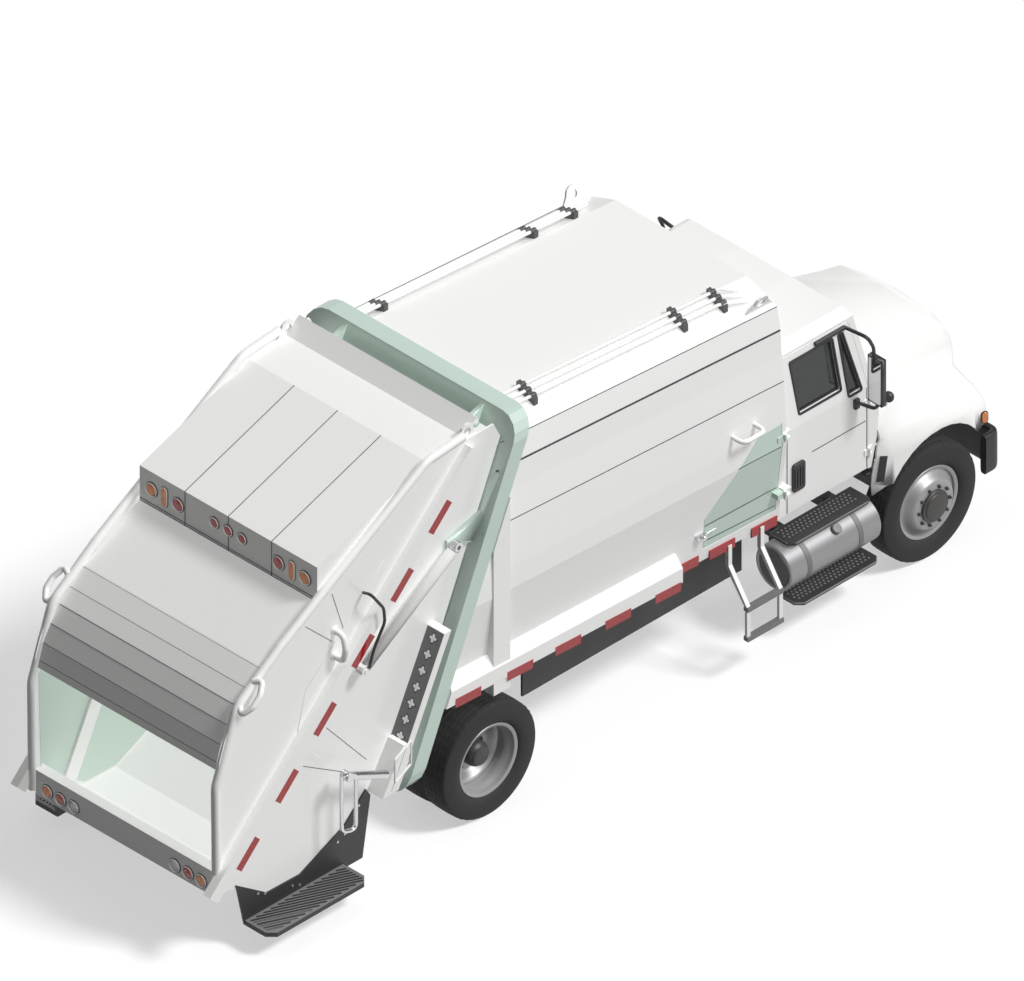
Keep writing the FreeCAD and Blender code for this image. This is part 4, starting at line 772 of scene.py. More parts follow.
pipes, clamps = [], []
hollow, full = clampLook["collar"]
collar = [(0, hollow), (0, full), (clampLook["collarLong"], full), (clampLook["collarLong"], hollow)]
for side in sides.values():
    for offset in pipeLook["offsets"]:
        out, drop = pipeLook["out"] + offset, offset * pipeLook["slant"] - pipeLook["lift"]
        rear, front, nose = pipeLook["rear"], pipeLook["front"] - offset, pipeLook["nose"]
        path = [(rear, out, roofHeight(rear, drop)), (front, out, roofHeight(front, drop)),
                (nose, out + pipeLook["noseOut"], roofHeight(nose, drop + pipeLook["noseDrop"]))]
        pipes.append(tube(rounded(onSide(side, path), pipeLook["bend"]), pipeLook["radius"], 10))
    for x in clampLook["places"]:
        z = roofHeight(x, 0)
        outline = [(side * clampLook["inner"], z + clampLook["innerUps"][0]),
                   (side * clampLook["outer"], z + clampLook["outerUps"][0]),
                   (side * clampLook["outer"], z + clampLook["outerUps"][1]),
                   (side * clampLook["inner"], z + clampLook["innerUps"][1])]
        clamps.append(plateShape(outline, 0, x + axleX, x + clampLook["wide"] + axleX, 0.004))
        for offset in pipeLook["offsets"]:
            up = roofHeight(x, offset * pipeLook["slant"] - pipeLook["lift"])
            centre = spot(side, x - 0.004, pipeLook["out"] + offset, up)
            clamps.append(turned(collar, centre, axis=(1, 0, 0), segments=14))
piece = makePiece("roof_tubes", pipes, "whitePaint", "chassis")
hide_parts("roof_pipes")
makePiece("roof_clamps", clamps, "darkSteel", "chassis")

latchLook = {
    "x": -2.535, "up": 1.515, "plate": (-0.125, -0.02), "plateHalf": 0.016, "plateOut": (1.128, 1.165),
    "rod": (-0.03, 0.085), "rodRadius": 0.010,
    "knob": ((0, 0.024), (0.03, 0.024), (0.036, 0.018), (0.037, 0.001)),
}
x, up = latchLook["x"], latchLook["up"]
plateLow = (x + latchLook["plate"][0], latchLook["plateOut"][0], up - latchLook["plateHalf"])
plateHigh = (x + latchLook["plate"][1], latchLook["plateOut"][1], up + latchLook["plateHalf"])
rod = [(x + latchLook["rod"][0], 1.15, up), (x + latchLook["rod"][1], 1.15, up + 0.004)]
latch = [
    mirrorPart(blockAt(plateLow, plateHigh, 0.004), -1), tube(onSide(-1, rod), latchLook["rodRadius"], 10),
    knob(latchLook["knob"], spot(-1, x - 0.07, 1.16, up), (0, -1, 0), 18),
]
makePiece("access_latch", latch, "brightSteel", "access_lid")

accessSeams = (
    ((-2.228, 1.1925, 2.007), (-1.745, 1.1925, 1.986)), ((-2.555, 1.140, 1.585), (-1.745, 1.137, 1.560)),
    ((-2.545, 1.122, 1.425), (-1.745, 1.117, 1.372)),
)
makePiece("access_door_seams", [tube(onSide(-1, line), 0.003, seamSides) for line in accessSeams],
          "seamShade", "access_lid")
rungLook = {"x": (-2.276, -1.867), "y": (-1.347, -1.298), "ups": (0.70, 0.41), "below": 0.002, "above": 0.042}
rungs = []
for up in rungLook["ups"]:
    low = (rungLook["x"][0], rungLook["y"][0], up - rungLook["below"])
    high = (rungLook["x"][1], rungLook["y"][1], up + rungLook["above"])
    rungs.append(blockAt(low, high, 0.004))
makePiece("ladder_rungs", rungs, "stepGreyAndShade", "chassis")
print("load body details")

# tailgate

tailSeams = {
    "panelOuts": (-0.49, 0.0, 0.49), "panelLine": ((-6.8085, 2.85), (-6.8085, 3.2405), (-5.571, 3.6605)),
    "panelRadius": 0.0035, "boxLines": ((-6.8085, 2.905), (-6.8085, 2.93)), "boxRadius": 0.003,
    "coverLines": ((-7.430, 2.560), (-7.580, 2.440), (-7.700, 2.330), (-7.800, 2.190), (-7.880, 2.040),
                   (-7.925, 1.890)),
    "coverShift": (-0.0186, 0.0086), "coverRadius": 0.0025, "half": 1.0,
}
seams = []
for out in tailSeams["panelOuts"]:
    seams.append(tube(place([(x, out, z) for x, z in tailSeams["panelLine"]]), tailSeams["panelRadius"],
                      seamSides))
crossings = [(x, z, tailSeams["boxRadius"]) for x, z in tailSeams["boxLines"]]
back, raised = tailSeams["coverShift"]
crossings += [(x + back, z + raised, tailSeams["coverRadius"]) for x, z in tailSeams["coverLines"]]
for x, z, radius in crossings:
    seams.append(tube(place([(x, -tailSeams["half"], z), (x, tailSeams["half"], z)]), radius, seamSides))
makePiece("tail_seams", seams, "seamShade", "tailgate")

linerLook = {
    "view": ((-7.90, 0.75), (-7.93, 1.80), (-6.30, 1.80), (-6.06, 1.22), (-6.27, 0.96), (-6.56, 0.65),
             (-7.05, 0.415), (-7.40, 0.423), (-7.74, 0.645)),
    "out": (1.0255, 1.0298),
    "brace": ((-7.66, 0.60), (-7.53, 0.52), (-7.16, 1.30), (-7.29, 1.36)), "braceOut": (0.995, 1.0253),
}
foldLook = {
    "lines": (((-6.686, 2.944), (-6.556, 2.536)), ((-6.985, 2.773), (-6.675, 2.468)),
              ((-6.75, 1.666), (-6.296, 1.128)), ((-7.01, 1.418), (-6.516, 1.11))),
    "out": 1.0505, "radius": 0.003,
    "ridge": ((-6.101, 2.974), (-6.985, 2.143), (-7.101, 1.672)), "ridgeOut": 1.050, "ridgeRadius": 0.007,
}
edgeTube = {
    "line": ((-7.980, 0.643), (-7.995, 1.690), (-7.760, 2.360), (-7.260, 2.715), (-5.609, 3.700),
             (-5.192, 3.736)),
    "out": 1.04, "bend": 0.25, "radius": 0.0385,
}
channelLook = {
    # the half sizes of the dark plate on the rear face, which is painted shade
    "top": (-5.602, 2.104), "foot": (-6.201, 0.856), "out": 1.145, "shadeHalf": (0.092, 0.688),
    "holes": 8, "before": 0.55, "spare": 1.7,  # the first hole's place and the room kept free, in hole steps
    "radius": 0.030, "rim": 1.3, "lobes": 4, "wave": 0.32,
}
hookLook = {
    "edge": ((-7.57, 1.045, 2.525), (-7.54, 1.12, 2.55), (-7.62, 1.17, 2.47), (-7.70, 1.17, 2.40),
             (-7.77, 1.11, 2.33), (-7.73, 1.045, 2.375)),
    "plate": ((-6.66, 1.045, 2.575), (-6.66, 1.155, 2.575), (-6.66, 1.18, 2.45), (-6.66, 1.155, 2.325),
              (-6.66, 1.045, 2.325)),
    "bend": 0.07, "radius": 0.027,
    "flange": ((0, 0.04), (0.008, 0.04), (0.012, 0.034), (0.012, 0.02)),
    "flanges": ((-6.66, 2.575), (-6.66, 2.325)),
}
liftPipe = {
    "line": ((-6.34, 1.06, 2.79), (-6.384, 1.19, 2.857), (-6.24, 1.19, 2.651), (-6.226, 1.19, 2.509),
             (-6.343, 1.19, 2.32), (-6.395, 1.18, 2.143)),
    "bend": 0.12, "radius": 0.013,
}
lockLook = {
    "bracket": ((-6.30, 0.83), (-6.06, 1.24), (-6.00, 1.24), (-6.00, 1.06), (-6.12, 0.83)),
    "bracketOut": (1.06, 1.236),
    "bar": ((-6.70, 1.225, 1.255), (-6.25, 1.225, 1.045)), "barRadius": 0.037,
    "loop": ((-6.77, 1.245, 1.30), (-6.77, 1.245, 0.745), (-6.61, 1.245, 0.70), (-6.61, 1.245, 1.24)),
    "loopBend": 0.07, "loopRadius": 0.018,
    "eye": ((-6.69, 1.18, 1.25), (-6.69, 1.272, 1.25)), "eyeRadius": 0.040,
    "handle": ((-6.16, 1.238, 1.15), (-5.98, 1.238, 1.25), (-5.98, 1.238, 1.02), (-6.16, 1.238, 0.92)),
    "handleBend": 0.015, "handleRadius": 0.010,
}
rearStep = {
    "tread": ((-7.685, 1.065), (-6.575, 1.065), (-6.575, 1.302), (-6.642, 1.368), (-7.618, 1.368),
              (-7.685, 1.302)),
    "treadUp": (0.2485, 0.2512), "ribOut": (1.095, 1.340), "ribEnds": (-7.655, -6.605),
    "ribStarts": (-8.16, -6.66, 0.082), "ribSlope": 0.444, "ribUp": 0.2510, "ribRadius": 0.0085,
    "shortest": 0.12,
}
boltLook = {
    "shape": ((0, 0.013), (0.006, 0.013), (0.010, 0.008), (0.0105, 0.001)), "out": 1.065,
    "places": ((-7.54, 0.445), (-7.46, 0.405), (-7.15, 0.325), (-7.07, 0.295), (-6.64, 0.50), (-6.56, 0.54),
               (-6.44, 0.60), (-6.40, 0.74)),
}


def addChannelHoles(name, side):
    # Four-lobed holes down the channel's rear face, which leans along the line from its top to its foot; a
    # dark plate on that face and dark rims round the holes are painted shade.
    top, foot = np.array(channelLook["top"]), np.array(channelLook["foot"])
    run = (foot - top) / np.linalg.norm(foot - top)
    outward = np.array((run[1], 0, -run[0]))
    across, upward = (0, -1, 0), (-run[0], 0, -run[1])
    holes, dark = [], []
    radius, steps = channelLook["radius"], channelLook["holes"] + channelLook["spare"]
    for k in range(channelLook["holes"]):
        x, z = top + (foot - top) * (k + channelLook["before"]) / steps
        centre = spot(side, x, channelLook["out"], z)
        # A wider dark plate under each hole is painted shade in the hole's wall.
        for reach, lift, parts in ((radius * channelLook["rim"], 0.0005, dark), (radius, 0.002, holes)):
            outline = roundOutline(reach, 32, channelLook["lobes"], channelLook["wave"])
            parts.append(facePlate(outline, centre + outward * lift, across, upward, 0.002, 0.0005))
    # The dark plate on the rear face is painted shade: the face has the channel's own paint and is dark only
    # because it faces away from the light.
    middle = spot(side, (top[0] + foot[0]) / 2, channelLook["out"], (top[1] + foot[1]) / 2)
    back = facePlate(rectangle(*channelLook["shadeHalf"]), middle + outward * 0.0002, across, upward, 0.0014,
                     0.0004)
    makePiece(f"channel_painted_shade_{name}", [back], "stepGreyAndShade", "tailgate")
    makePiece(f"channel_hole_rims_{name}", dark, "seamShade", "tailgate")
    makePiece(f"channel_holes_{name}", holes, "whitePaint", "tailgate")


def addLock(name, side):
    # The channel's foot bracket, the bar with its eye and the loop that hangs from it.
    bracket = sidePlate(side, lockLook["bracket"], *lockLook["bracketOut"], 0.003)
    makePiece(f"lock_bracket_{name}", [bracket], "whitePaint", "tailgate")
    loop = rounded(onSide(side, lockLook["loop"] + lockLook["loop"][:1]), lockLook["loopBend"], 8)
    parts = [tube(onSide(side, lockLook["bar"]), lockLook["barRadius"], 18),
             tube(loop, lockLook["loopRadius"], 12),
             tube(onSide(side, lockLook["eye"]), lockLook["eyeRadius"], 20)]
    makePiece(f"lock_bar_{name}", parts, "brightSteel", "tailgate")
    handle = rounded(onSide(side, lockLook["handle"] + lockLook["handle"][:2]), lockLook["handleBend"])
    makePiece(f"lock_handle_{name}", [tube(handle, lockLook["handleRadius"], 8)], "whitePaint", "tailgate")


def addRearStep(name, side):
    # The riding step's tread, its slanting ribs, each cut to the tread, and its bracket's bolts.
    outline = place([(x, side * y, 0) for x, y in rearStep["tread"]])[:, :2]
    tread = plateShape(outline, 2, *rearStep["treadUp"], 0.001)
    makePiece(f"rear_step_tread_{name}", [tread], "stepGreyAndShade", "tailgate")
    (inner, outer), slope, up = rearStep["ribOut"], rearStep["ribSlope"], rearStep["ribUp"]
    ribs = []
    for start in np.arange(*rearStep["ribStarts"]):
        t0, t1 = (np.clip((limit - start) * slope / (outer - inner), 0, 1) for limit in rearStep["ribEnds"])
        if t1 - t0 > rearStep["shortest"]:
            ends = [(start + t * (outer - inner) / slope, inner + t * (outer - inner), up) for t in (t0, t1)]
            ribs.append(tube(onSide(side, ends), rearStep["ribRadius"], 6))
    makePiece(f"rear_step_ribs_{name}", ribs, "blackPaint", "tailgate", smooth=60)
    bolts = [knob(boltLook["shape"], spot(side, x, boltLook["out"], z), (0, side, 0), 10)
             for x, z in boltLook["places"]]
    makePiece(f"bracket_bolts_{name}", bolts, "brightSteel", "tailgate")


for name, side in sides.items():
    liner = sidePlate(side, linerLook["view"], *linerLook["out"], 0.001)
    makePiece(f"hopper_liner_{name}", [liner], "palePaint", "tailgate")
    brace = sidePlate(side, linerLook["brace"], *linerLook["braceOut"], 0.002)
    makePiece(f"hopper_brace_{name}", [brace], "whitePaint", "tailgate")
    folds = [onSide(side, [(x, foldLook["out"], z) for x, z in line]) for line in foldLook["lines"]]
    makePiece(f"side_folds_{name}", [tube(line, foldLook["radius"], seamSides) for line in folds],
              "seamShade", "tailgate")
    ridge = onSide(side, [(x, foldLook["ridgeOut"], z) for x, z in foldLook["ridge"]])
    makePiece(f"side_ridge_{name}", [tube(ridge, foldLook["ridgeRadius"], 8)], "whitePaint", "tailgate",
              smooth=60)
    addChannelHoles(name, side)
    edge = rounded(onSide(side, [(x, edgeTube["out"], z) for x, z in edgeTube["line"]]), edgeTube["bend"], 9)
    makePiece(f"edge_tube_{name}", [tube(edge, edgeTube["radius"], 20)], "whitePaint", "tailgate",
              smooth=50)
    hooks = [rounded(onSide(side, hookLook[where]), hookLook["bend"]) for where in ("edge", "plate")]
    parts = [tube(hook, hookLook["radius"], 14) for hook in hooks]
    parts += [knob(hookLook["flange"], spot(side, x, 1.05, z), (0, side, 0), 20)
              for x, z in hookLook["flanges"]]
    makePiece(f"hand_hooks_{name}", parts, "whitePaint", "tailgate")
    pipe = rounded(onSide(side, liftPipe["line"]), liftPipe["bend"])  # the lift circuit's fixed pipe
    makePiece(f"lift_pipe_{name}", [tube(pipe, liftPipe["radius"], 10)], "blackPlastic", "tailgate")
    addLock(name, side)
    addRearStep(name, side)
print("tailgate details")

# steps and tank

stepLook = {
    "pitch": (0.0415, 0.036), "size": 0.0125, "high": 0.004, "rim": 0.009, "corner": 0.05, "rearCorner": 0.06,
}
stepPlans = (
    # rear x, front x, inner and outer edge, top
    (-1.61, -0.70, 0.93, 1.17, 0.943), (-1.60, -0.68, 0.96, 1.25, 0.390),
)
diamondPoints, diamondFaces = knob([(-0.0005, stepLook["size"]), (stepLook["high"], stepLook["size"] * 0.6)],
                                   (0, 0, 0), (0, 0, 1), 4)
diamond = (diamondPoints, diamondFaces + [(1, 3, 5, 7)])
for name, side in sides.items():
    studs, rims = [], []
    for x0, x1, y0, y1, top in stepPlans:
        along, out = stepLook["pitch"]
        columns, rows = int((x1 - x0 - 0.09) / along), int((y1 - y0 - 0.07) / out)
        column, row = np.meshgrid(np.arange(columns), np.arange(rows))
        x = x0 + 0.05 + (column + 0.5 * (row % 2)) * along + axleX
        y = side * (y0 + 0.04 + row * out)
        studs += copies(diamond, np.stack([x, y, np.full(column.shape, top)], axis=-1).reshape(-1, 3))
        corner, rearCorner = stepLook["corner"], stepLook["rearCorner"]
        edge = [(x0, y0), (x1, y0), (x1, y1 - corner), (x1 - corner, y1), (x0 + rearCorner, y1),
                (x0, y1 - corner)]
        rims.append(tube(onSide(side, [(x, y, top - 0.008) for x, y in edge]), stepLook["rim"], 6,
                         closed=True))
    makePiece(f"step_studs_{name}", studs, "castGrey", "chassis", smooth=0)
    makePiece(f"step_rims_{name}", rims, "stepGreyAndShade", "chassis")

tankLook = {
    "rear": -1.690, "front": -0.670, "out": 1.050, "up": 0.700, "radius": 0.2045,
    "straps": (-1.505, -0.925), "wide": 0.055, "filler": -1.12, "fillerWay": (0, -0.64, 0.77),
    "fillerShape": ((0, 0.045), (0.035, 0.045), (0.042, 0.038), (0.043, 0.002)),
}
radius, long = tankLook["radius"], tankLook["front"] - tankLook["rear"]


def tankSpot(x):
    # A point on the tank's axis.
    return spot(-1, x, tankLook["out"], tankLook["up"])


# a drum whose rolled rims stand past its ends
profile = [(0.012, 0.002), (0.012, radius - 0.035), (0.0, radius - 0.022), (0.0, radius - 0.006),
           (0.008, radius), (long - 0.008, radius), (long, radius - 0.006), (long, radius - 0.022),
           (long - 0.012, radius - 0.035), (long - 0.012, 0.002)]
drum = knob(profile, tankSpot(tankLook["rear"]), (1, 0, 0), 72)
piece = makePiece("tank_shell", [drum], "tankSteel", "chassis", smooth=35)
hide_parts("fuel_tank")
hoop = [(0, radius), (0.003, radius + 0.004), (tankLook["wide"] - 0.003, radius + 0.004),
        (tankLook["wide"], radius)]
straps = [turned(hoop, tankSpot(x), axis=(1, 0, 0), segments=72) for x in tankLook["straps"]]
makePiece("tank_straps", straps, "stepGreyAndShade", "chassis")
capRing = [(-0.001, 0.002), (-0.001, radius - 0.04), (0.011, radius - 0.036), (0.011, 0.002)]
cap = knob(capRing, tankSpot(tankLook["rear"] + 0.001), (1, 0, 0), 60)
makePiece("tank_rear_cap", [cap], "darkSteel", "chassis")
fillerWay = np.array(tankLook["fillerWay"])
filler = knob(tankLook["fillerShape"], tankSpot(tankLook["filler"]) + fillerWay * (radius - 0.006), fillerWay,
              28)
makePiece("tank_filler", [filler], "stepGreyAndShade", "chassis")
print("steps and tank")

# cab

cabLook = {"gasket": 0.011, "seam": 0.0035, "belt": 1.9, "half": 1.0, "eaveHalf": 0.94, "eaveHigh": 2.62}
doorLook = {
    "window": ((-1.412, 2.52), (-0.927, 2.52), (-0.866, 2.00), (-1.342, 2.00)),
    "vent": ((-0.862, 2.52), (-0.812, 2.52), (-0.640, 1.90), (-0.790, 1.90)),
    "visor": ((-1.13, 2.565), (-0.80, 2.565)), "visorRadius": 0.021,
    "crease": ((-1.204, 1.0015, 1.572), (-0.60, 1.0015, 1.572)),
    "edges": (-1.486, -0.586), "edgeUps": (1.11, 1.89),
    "handle": (-1.368, 1.42), "handleHalf": (0.070, 0.137), "slats": (-1.412, -1.382, -1.352, -1.322),
    "slatHalf": (0.009, 0.095),
}
mirrorLook = {"place": (-0.6895, 1.195, 2.105), "half": (0.068, 0.21), "corner": 0.02, "thick": 0.003}
ventLook = {
    # outline forward and up, for the right side; the fender's rear face slants
    "view": ((-0.045, -0.13), (0.020, -0.13), (0.050, 0.12), (-0.012, 0.12)), "place": (-0.476, 1.058, 1.075),
    "across": (0.758, -0.652),
}
hoodMirror = {
    "foot": (-0.36, 0.915, 1.50), "head": (-0.262, 0.93, 1.60), "stalk": 0.010,
    "shell": ((0.0, 0.002), (0.0, 0.045), (0.02, 0.05), (0.045, 0.04), (0.055, 0.002)),
    "base": ((0.0, 0.03), (0.012, 0.024), (0.02, 0.01), (0.02, 0.001)),
}
turnLook = {
    # half width, half height, out, thick, chamfer
    "lamp": (0.026, 0.052, 1.093, 0.016, 0.005), "rim": (0.034, 0.062, 1.091, 0.010, 0.003),
    "x": 0.653, "up": 1.03, "across": (0.93, -0.37),
}
upright = (0, 0, 1)


def doorOut(z, lift=0.002):
    # How far out the cab's side lies at a height: straight up to the belt, then leaning in to the eave.
    lean = (cabLook["half"] - cabLook["eaveHalf"]) / (cabLook["eaveHigh"] - cabLook["belt"])
    return cabLook["half"] - lean * max(z - cabLook["belt"], 0.0) + lift


def addDoorTrim(name, side):
    body = f"cab_door_{name}"
    parts = []
    for view in (doorLook["window"], doorLook["vent"]):
        loop = [(x, doorOut(z), z) for x, z in view]
        parts.append(tube(rounded(onSide(side, loop + loop[:1]), 0.02, 4), cabLook["gasket"], 8))
    visor = [(x, doorOut(z, 0.014), z) for x, z in doorLook["visor"]]
    parts.append(tube(onSide(side, visor), doorLook["visorRadius"], 10))
    makePiece(f"door_gaskets_{name}", parts, "blackPlastic", body)
    seams = [tube(onSide(side, doorLook["crease"]), cabLook["seam"], seamSides)]
    for x in doorLook["edges"]:
        seams.append(tube(onSide(side, [(x, 1.0005, z) for z in doorLook["edgeUps"]]), cabLook["seam"],
                          seamSides))
    makePiece(f"door_seams_{name}", seams, "seamShade", body)
    (x, up), across = doorLook["handle"], (-side, 0, 0)
    recess = stadiumBox(*doorLook["handleHalf"], 0.03)
    handle = [facePlate(recess, spot(side, x, 1.0, up), across, upright, 0.0235, 0.004)]
    for x in doorLook["slats"]:
        slat = rectangle(*doorLook["slatHalf"])
        handle.append(facePlate(slat, spot(side, x, 1.022, up), across, upright, 0.008, 0.003))
    makePiece(f"door_handle_{name}", handle, "blackPlastic", body)


def addHoodTrim(name, side):
    across = (-side * ventLook["across"][0], ventLook["across"][1], 0)
    ventShape = [(forward * -side, up) for forward, up in ventLook["view"]]
    vent = facePlate(ventShape, spot(side, *ventLook["place"]), across, upright, 0.008, 0.002)
    makePiece(f"fender_vent_{name}", [vent], "blackPlastic", "hood_body")
    foot, head = spot(side, *hoodMirror["foot"]), spot(side, *hoodMirror["head"])
    stalk = tube(np.array([foot, (foot + head) / 2 + (0, 0, 0.01), head]), hoodMirror["stalk"], 8)
    shell = knob(hoodMirror["shell"], head - (0.02, 0, 0), (0.9, -0.3 * side, 0.1), 24)
    base = knob(hoodMirror["base"], foot - (0, 0, 0.008), (0, 0.5 * side, 0.86), 18)
    makePiece(f"hood_mirror_{name}", [stalk, shell, base], "blackPlastic", "hood_body")
    across = (-side * turnLook["across"][0], turnLook["across"][1], 0)
    plates = []
    for halfWide, halfHigh, out, thick, chamfer in (turnLook["lamp"], turnLook["rim"]):
        centre = spot(side, turnLook["x"], out, turnLook["up"])
        plates.append(facePlate(stadium(halfWide, halfHigh), centre, across, upright, thick, chamfer))
    makePiece(f"turn_lamp_{name}", plates[:1], "amberLens", "hood_body")
    makePiece(f"turn_lamp_rim_{name}", plates[1:], "blackPlastic", "hood_body")


for name, side in sides.items():
    addDoorTrim(name, side)
    glass = stadiumBox(*mirrorLook["half"], mirrorLook["corner"])  # on the rear face of the mirror's head
    plate = facePlate(glass, spot(side, *mirrorLook["place"]), (0, -1, 0), upright, mirrorLook["thick"],
                      0.001)
    makePiece(f"mirror_glass_{name}", [plate], "mirrorGlass", "chassis")
    addHoodTrim(name, side)

screenLook = {
    "x": -0.690, "lean": 0.2394, "top": 2.640,
    "corners": ((-0.80, 1.96), (0.80, 1.96), (0.80, 2.56), (-0.80, 2.56)),
    "wipers": ((-0.55, -0.06), (0.10, 0.60)),  # across, at the pivot and at the arm's tip
}


def onScreen(across, up, lift=0.004):
    # A point on the leaning windscreen, or a little in front of it.
    return screenLook["x"] + screenLook["lean"] * (screenLook["top"] - up) + lift, across, up


screen = [onScreen(across, up) for across, up in screenLook["corners"]]
parts = [tube(rounded(place(screen + screen[:1]), 0.05, 5), 0.013, 8),
         tube(place([onScreen(0, 1.96), onScreen(0, 2.56)]), 0.008, 8)]
for pivot, tip in screenLook["wipers"]:
    arm = [onScreen(pivot, 1.93, 0.02), onScreen((pivot + tip) / 2, 2.10, 0.025), onScreen(tip, 2.24, 0.02)]
    blade = [onScreen(tip - 0.30, 2.02, 0.014), onScreen(tip + 0.18, 2.40, 0.014)]
    parts += [tube(place(arm), 0.006, 6), tube(place(blade), 0.007, 6)]
makePiece("screen_trim", parts, "blackPlastic", "chassis")

bumperLook = {
    "plan": ((0.62, 1.114), (0.765, 1.114), (0.765, -1.114), (0.62, -1.114)), "up": 0.685, "bend": 0.12,
    "half": (0.034, 0.184), "power": 0.35, "slots": (-0.62, 0.62), "slotHalf": 0.11, "slotUp": (0.655, 0.705),
}


def fullWave(wave, power):
    # A sine or cosine raised to a power under 1, its sign kept: full sides and round rims.
    return np.sign(wave) * np.abs(wave) ** power


def sweptBar(plan, half, power, count=28):
    # A rounded upright section, a superellipse, carried along a level path of (x, y, z) points.
    path = np.array(plan, float)
    ahead = np.gradient(path, axis=0)
    ahead /= np.linalg.norm(ahead, axis=1)[:, None]
    across = np.stack([-ahead[:, 1], ahead[:, 0], np.zeros(len(path))], axis=1)
    u = np.linspace(0, 2 * math.pi, count, endpoint=False)
    a, b = half[0] * fullWave(np.cos(u), power), half[1] * fullWave(np.sin(u), power)
    section = a[None, :, None] * across[:, None, :]
    points = path[:, None, :] + section + b[None, :, None] * np.array((0, 0, 1.0))
    faces = gridFaces(len(path), count, False, True)
    faces += [tuple(range(count)), tuple(range((len(path) - 1) * count, len(path) * count))]
    return points.reshape(-1, 3), faces


plan = rounded(place([(x, y, bumperLook["up"]) for x, y in bumperLook["plan"]]), bumperLook["bend"], 10)
bumper = makePiece("bumper_bar", [sweptBar(plan, bumperLook["half"], bumperLook["power"])], "blackPaint",
                   bodyOf["front_bumper"], smooth=40)
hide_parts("front_bumper")
slots = []
for y in bumperLook["slots"]:
    low = (0.797, y - bumperLook["slotHalf"], bumperLook["slotUp"][0])
    high = (0.7995, y + bumperLook["slotHalf"], bumperLook["slotUp"][1])
    slots.append(blockAt(low, high, 0.001))
makePiece("bumper_slots", slots, "seamShade", bodyOf["front_bumper"])

grilleLook = {
    "rear": 0.7865, "barFront": 0.7985, "postFront": 0.7970, "half": 0.475, "ups": (0.985, 1.395), "bars": 10,
    "high": 0.016, "posts": (-0.24, 0.0, 0.24), "postHalf": 0.008, "postUps": (0.97, 1.42),
}
half, postHalf, (postFoot, postTop) = grilleLook["half"], grilleLook["postHalf"], grilleLook["postUps"]
bars = []
for z in np.linspace(*grilleLook["ups"], grilleLook["bars"]):
    low, high = (grilleLook["rear"], -half, z), (grilleLook["barFront"], half, z + grilleLook["high"])
    bars.append(blockAt(low, high, 0.003))
for y in grilleLook["posts"]:
    low, high = (grilleLook["rear"], y - postHalf, postFoot), (grilleLook["postFront"], y + postHalf, postTop)
    bars.append(blockAt(low, high, 0.003))
makePiece("grille_bars", bars, "stepGreyAndShade", "hood_body")
headLamp = {
    "view": ((0.66, 0.93), (0.90, 0.93), (0.90, 1.07), (0.66, 1.11)), "x": 0.7930, "trim": 0.0065,
    "bulbs": (0.725, 0.835), "bulbX": 0.7855, "bulbUp": 1.0, "bulbRadius": 0.040,
}
for name, side in sides.items():
    loop = [(headLamp["x"], y, z) for y, z in headLamp["view"]]
    trims = [tube(rounded(onSide(side, loop + loop[:1]), 0.02, 4), headLamp["trim"], 8)]
    for y in headLamp["bulbs"]:
        bulb = spot(side, headLamp["bulbX"], y, headLamp["bulbUp"])
        trims.append(bezelRing(bulb, headLamp["bulbRadius"], 0.010, 1))
    makePiece(f"head_lamp_trim_{name}", trims, "blackPlastic", "hood_body")
print("cab details")

# seats

seatLook = {
    "out": 0.43, "power": 0.42, "waves": 2.5, "waveHigh": 0.006,  # the seams press shallow waves into it
    "cushion": {"x": -1.235, "up": 1.505, "half": (0.235, 0.235, 0.065), "tilt": -0.02},
    "back": {"x": -1.455, "up": 1.85, "half": (0.055, 0.235, 0.345), "tilt": 0.10},
    "base": {"x": (-1.44, -1.06), "half": 0.20, "up": (1.151, 1.44)},
}


def cushion(centre, half, tilt, power):
    # A superellipsoid: cos and sin are raised to a power under 1, so its sides are full and its rims round.
    u = np.linspace(-math.pi, math.pi, 40, endpoint=False)
    v = np.linspace(-math.pi / 2, math.pi / 2, 25)[1:-1]
    cu, su = fullWave(np.cos(u), power), fullWave(np.sin(u), power)
    cv, sv = fullWave(np.cos(v), power), fullWave(np.sin(v), power)
    rows = sv[:, None] * np.ones_like(cu)
    grid = np.stack([half[0] * cv[:, None] * cu, half[1] * cv[:, None] * su, half[2] * rows], axis=-1)
    wave = seatLook["waveHigh"] * np.cos(grid[..., 1] / half[1] * math.pi * seatLook["waves"])
    grid[..., 0 if half[2] > half[0] else 2] += wave
    c, s = math.cos(tilt), math.sin(tilt)
    x, y, z = np.moveaxis(grid, -1, 0)
    points = np.stack([x * c - z * s, y, x * s + z * c], axis=-1).reshape(-1, 3)
    faces = gridFaces(len(v), len(u), False, True)
    faces += [tuple(range(len(u))), tuple(range((len(v) - 1) * len(u), len(v) * len(u)))]
    return points + np.array(centre), faces


for name, side in sides.items():
    for part in ("cushion", "back"):
        look = seatLook[part]
        middle = spot(side, look["x"], seatLook["out"], look["up"])
        shape = cushion(middle, look["half"], look["tilt"], seatLook["power"])
        makePiece(f"seat_{part}_{name}", [shape], "seatCloth", "chassis",
                                  smooth=50)
    look, middle = seatLook["base"], side * seatLook["out"]
    low = (look["x"][0], middle - look["half"], look["up"][0])
    high = (look["x"][1], middle + look["half"], look["up"][1])
    makePiece(f"seat_base_{name}", [blockAt(low, high, 0.01)], "blackPlastic", "chassis")
    if side < 0:
        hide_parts("seats")
print("seats")

# stage

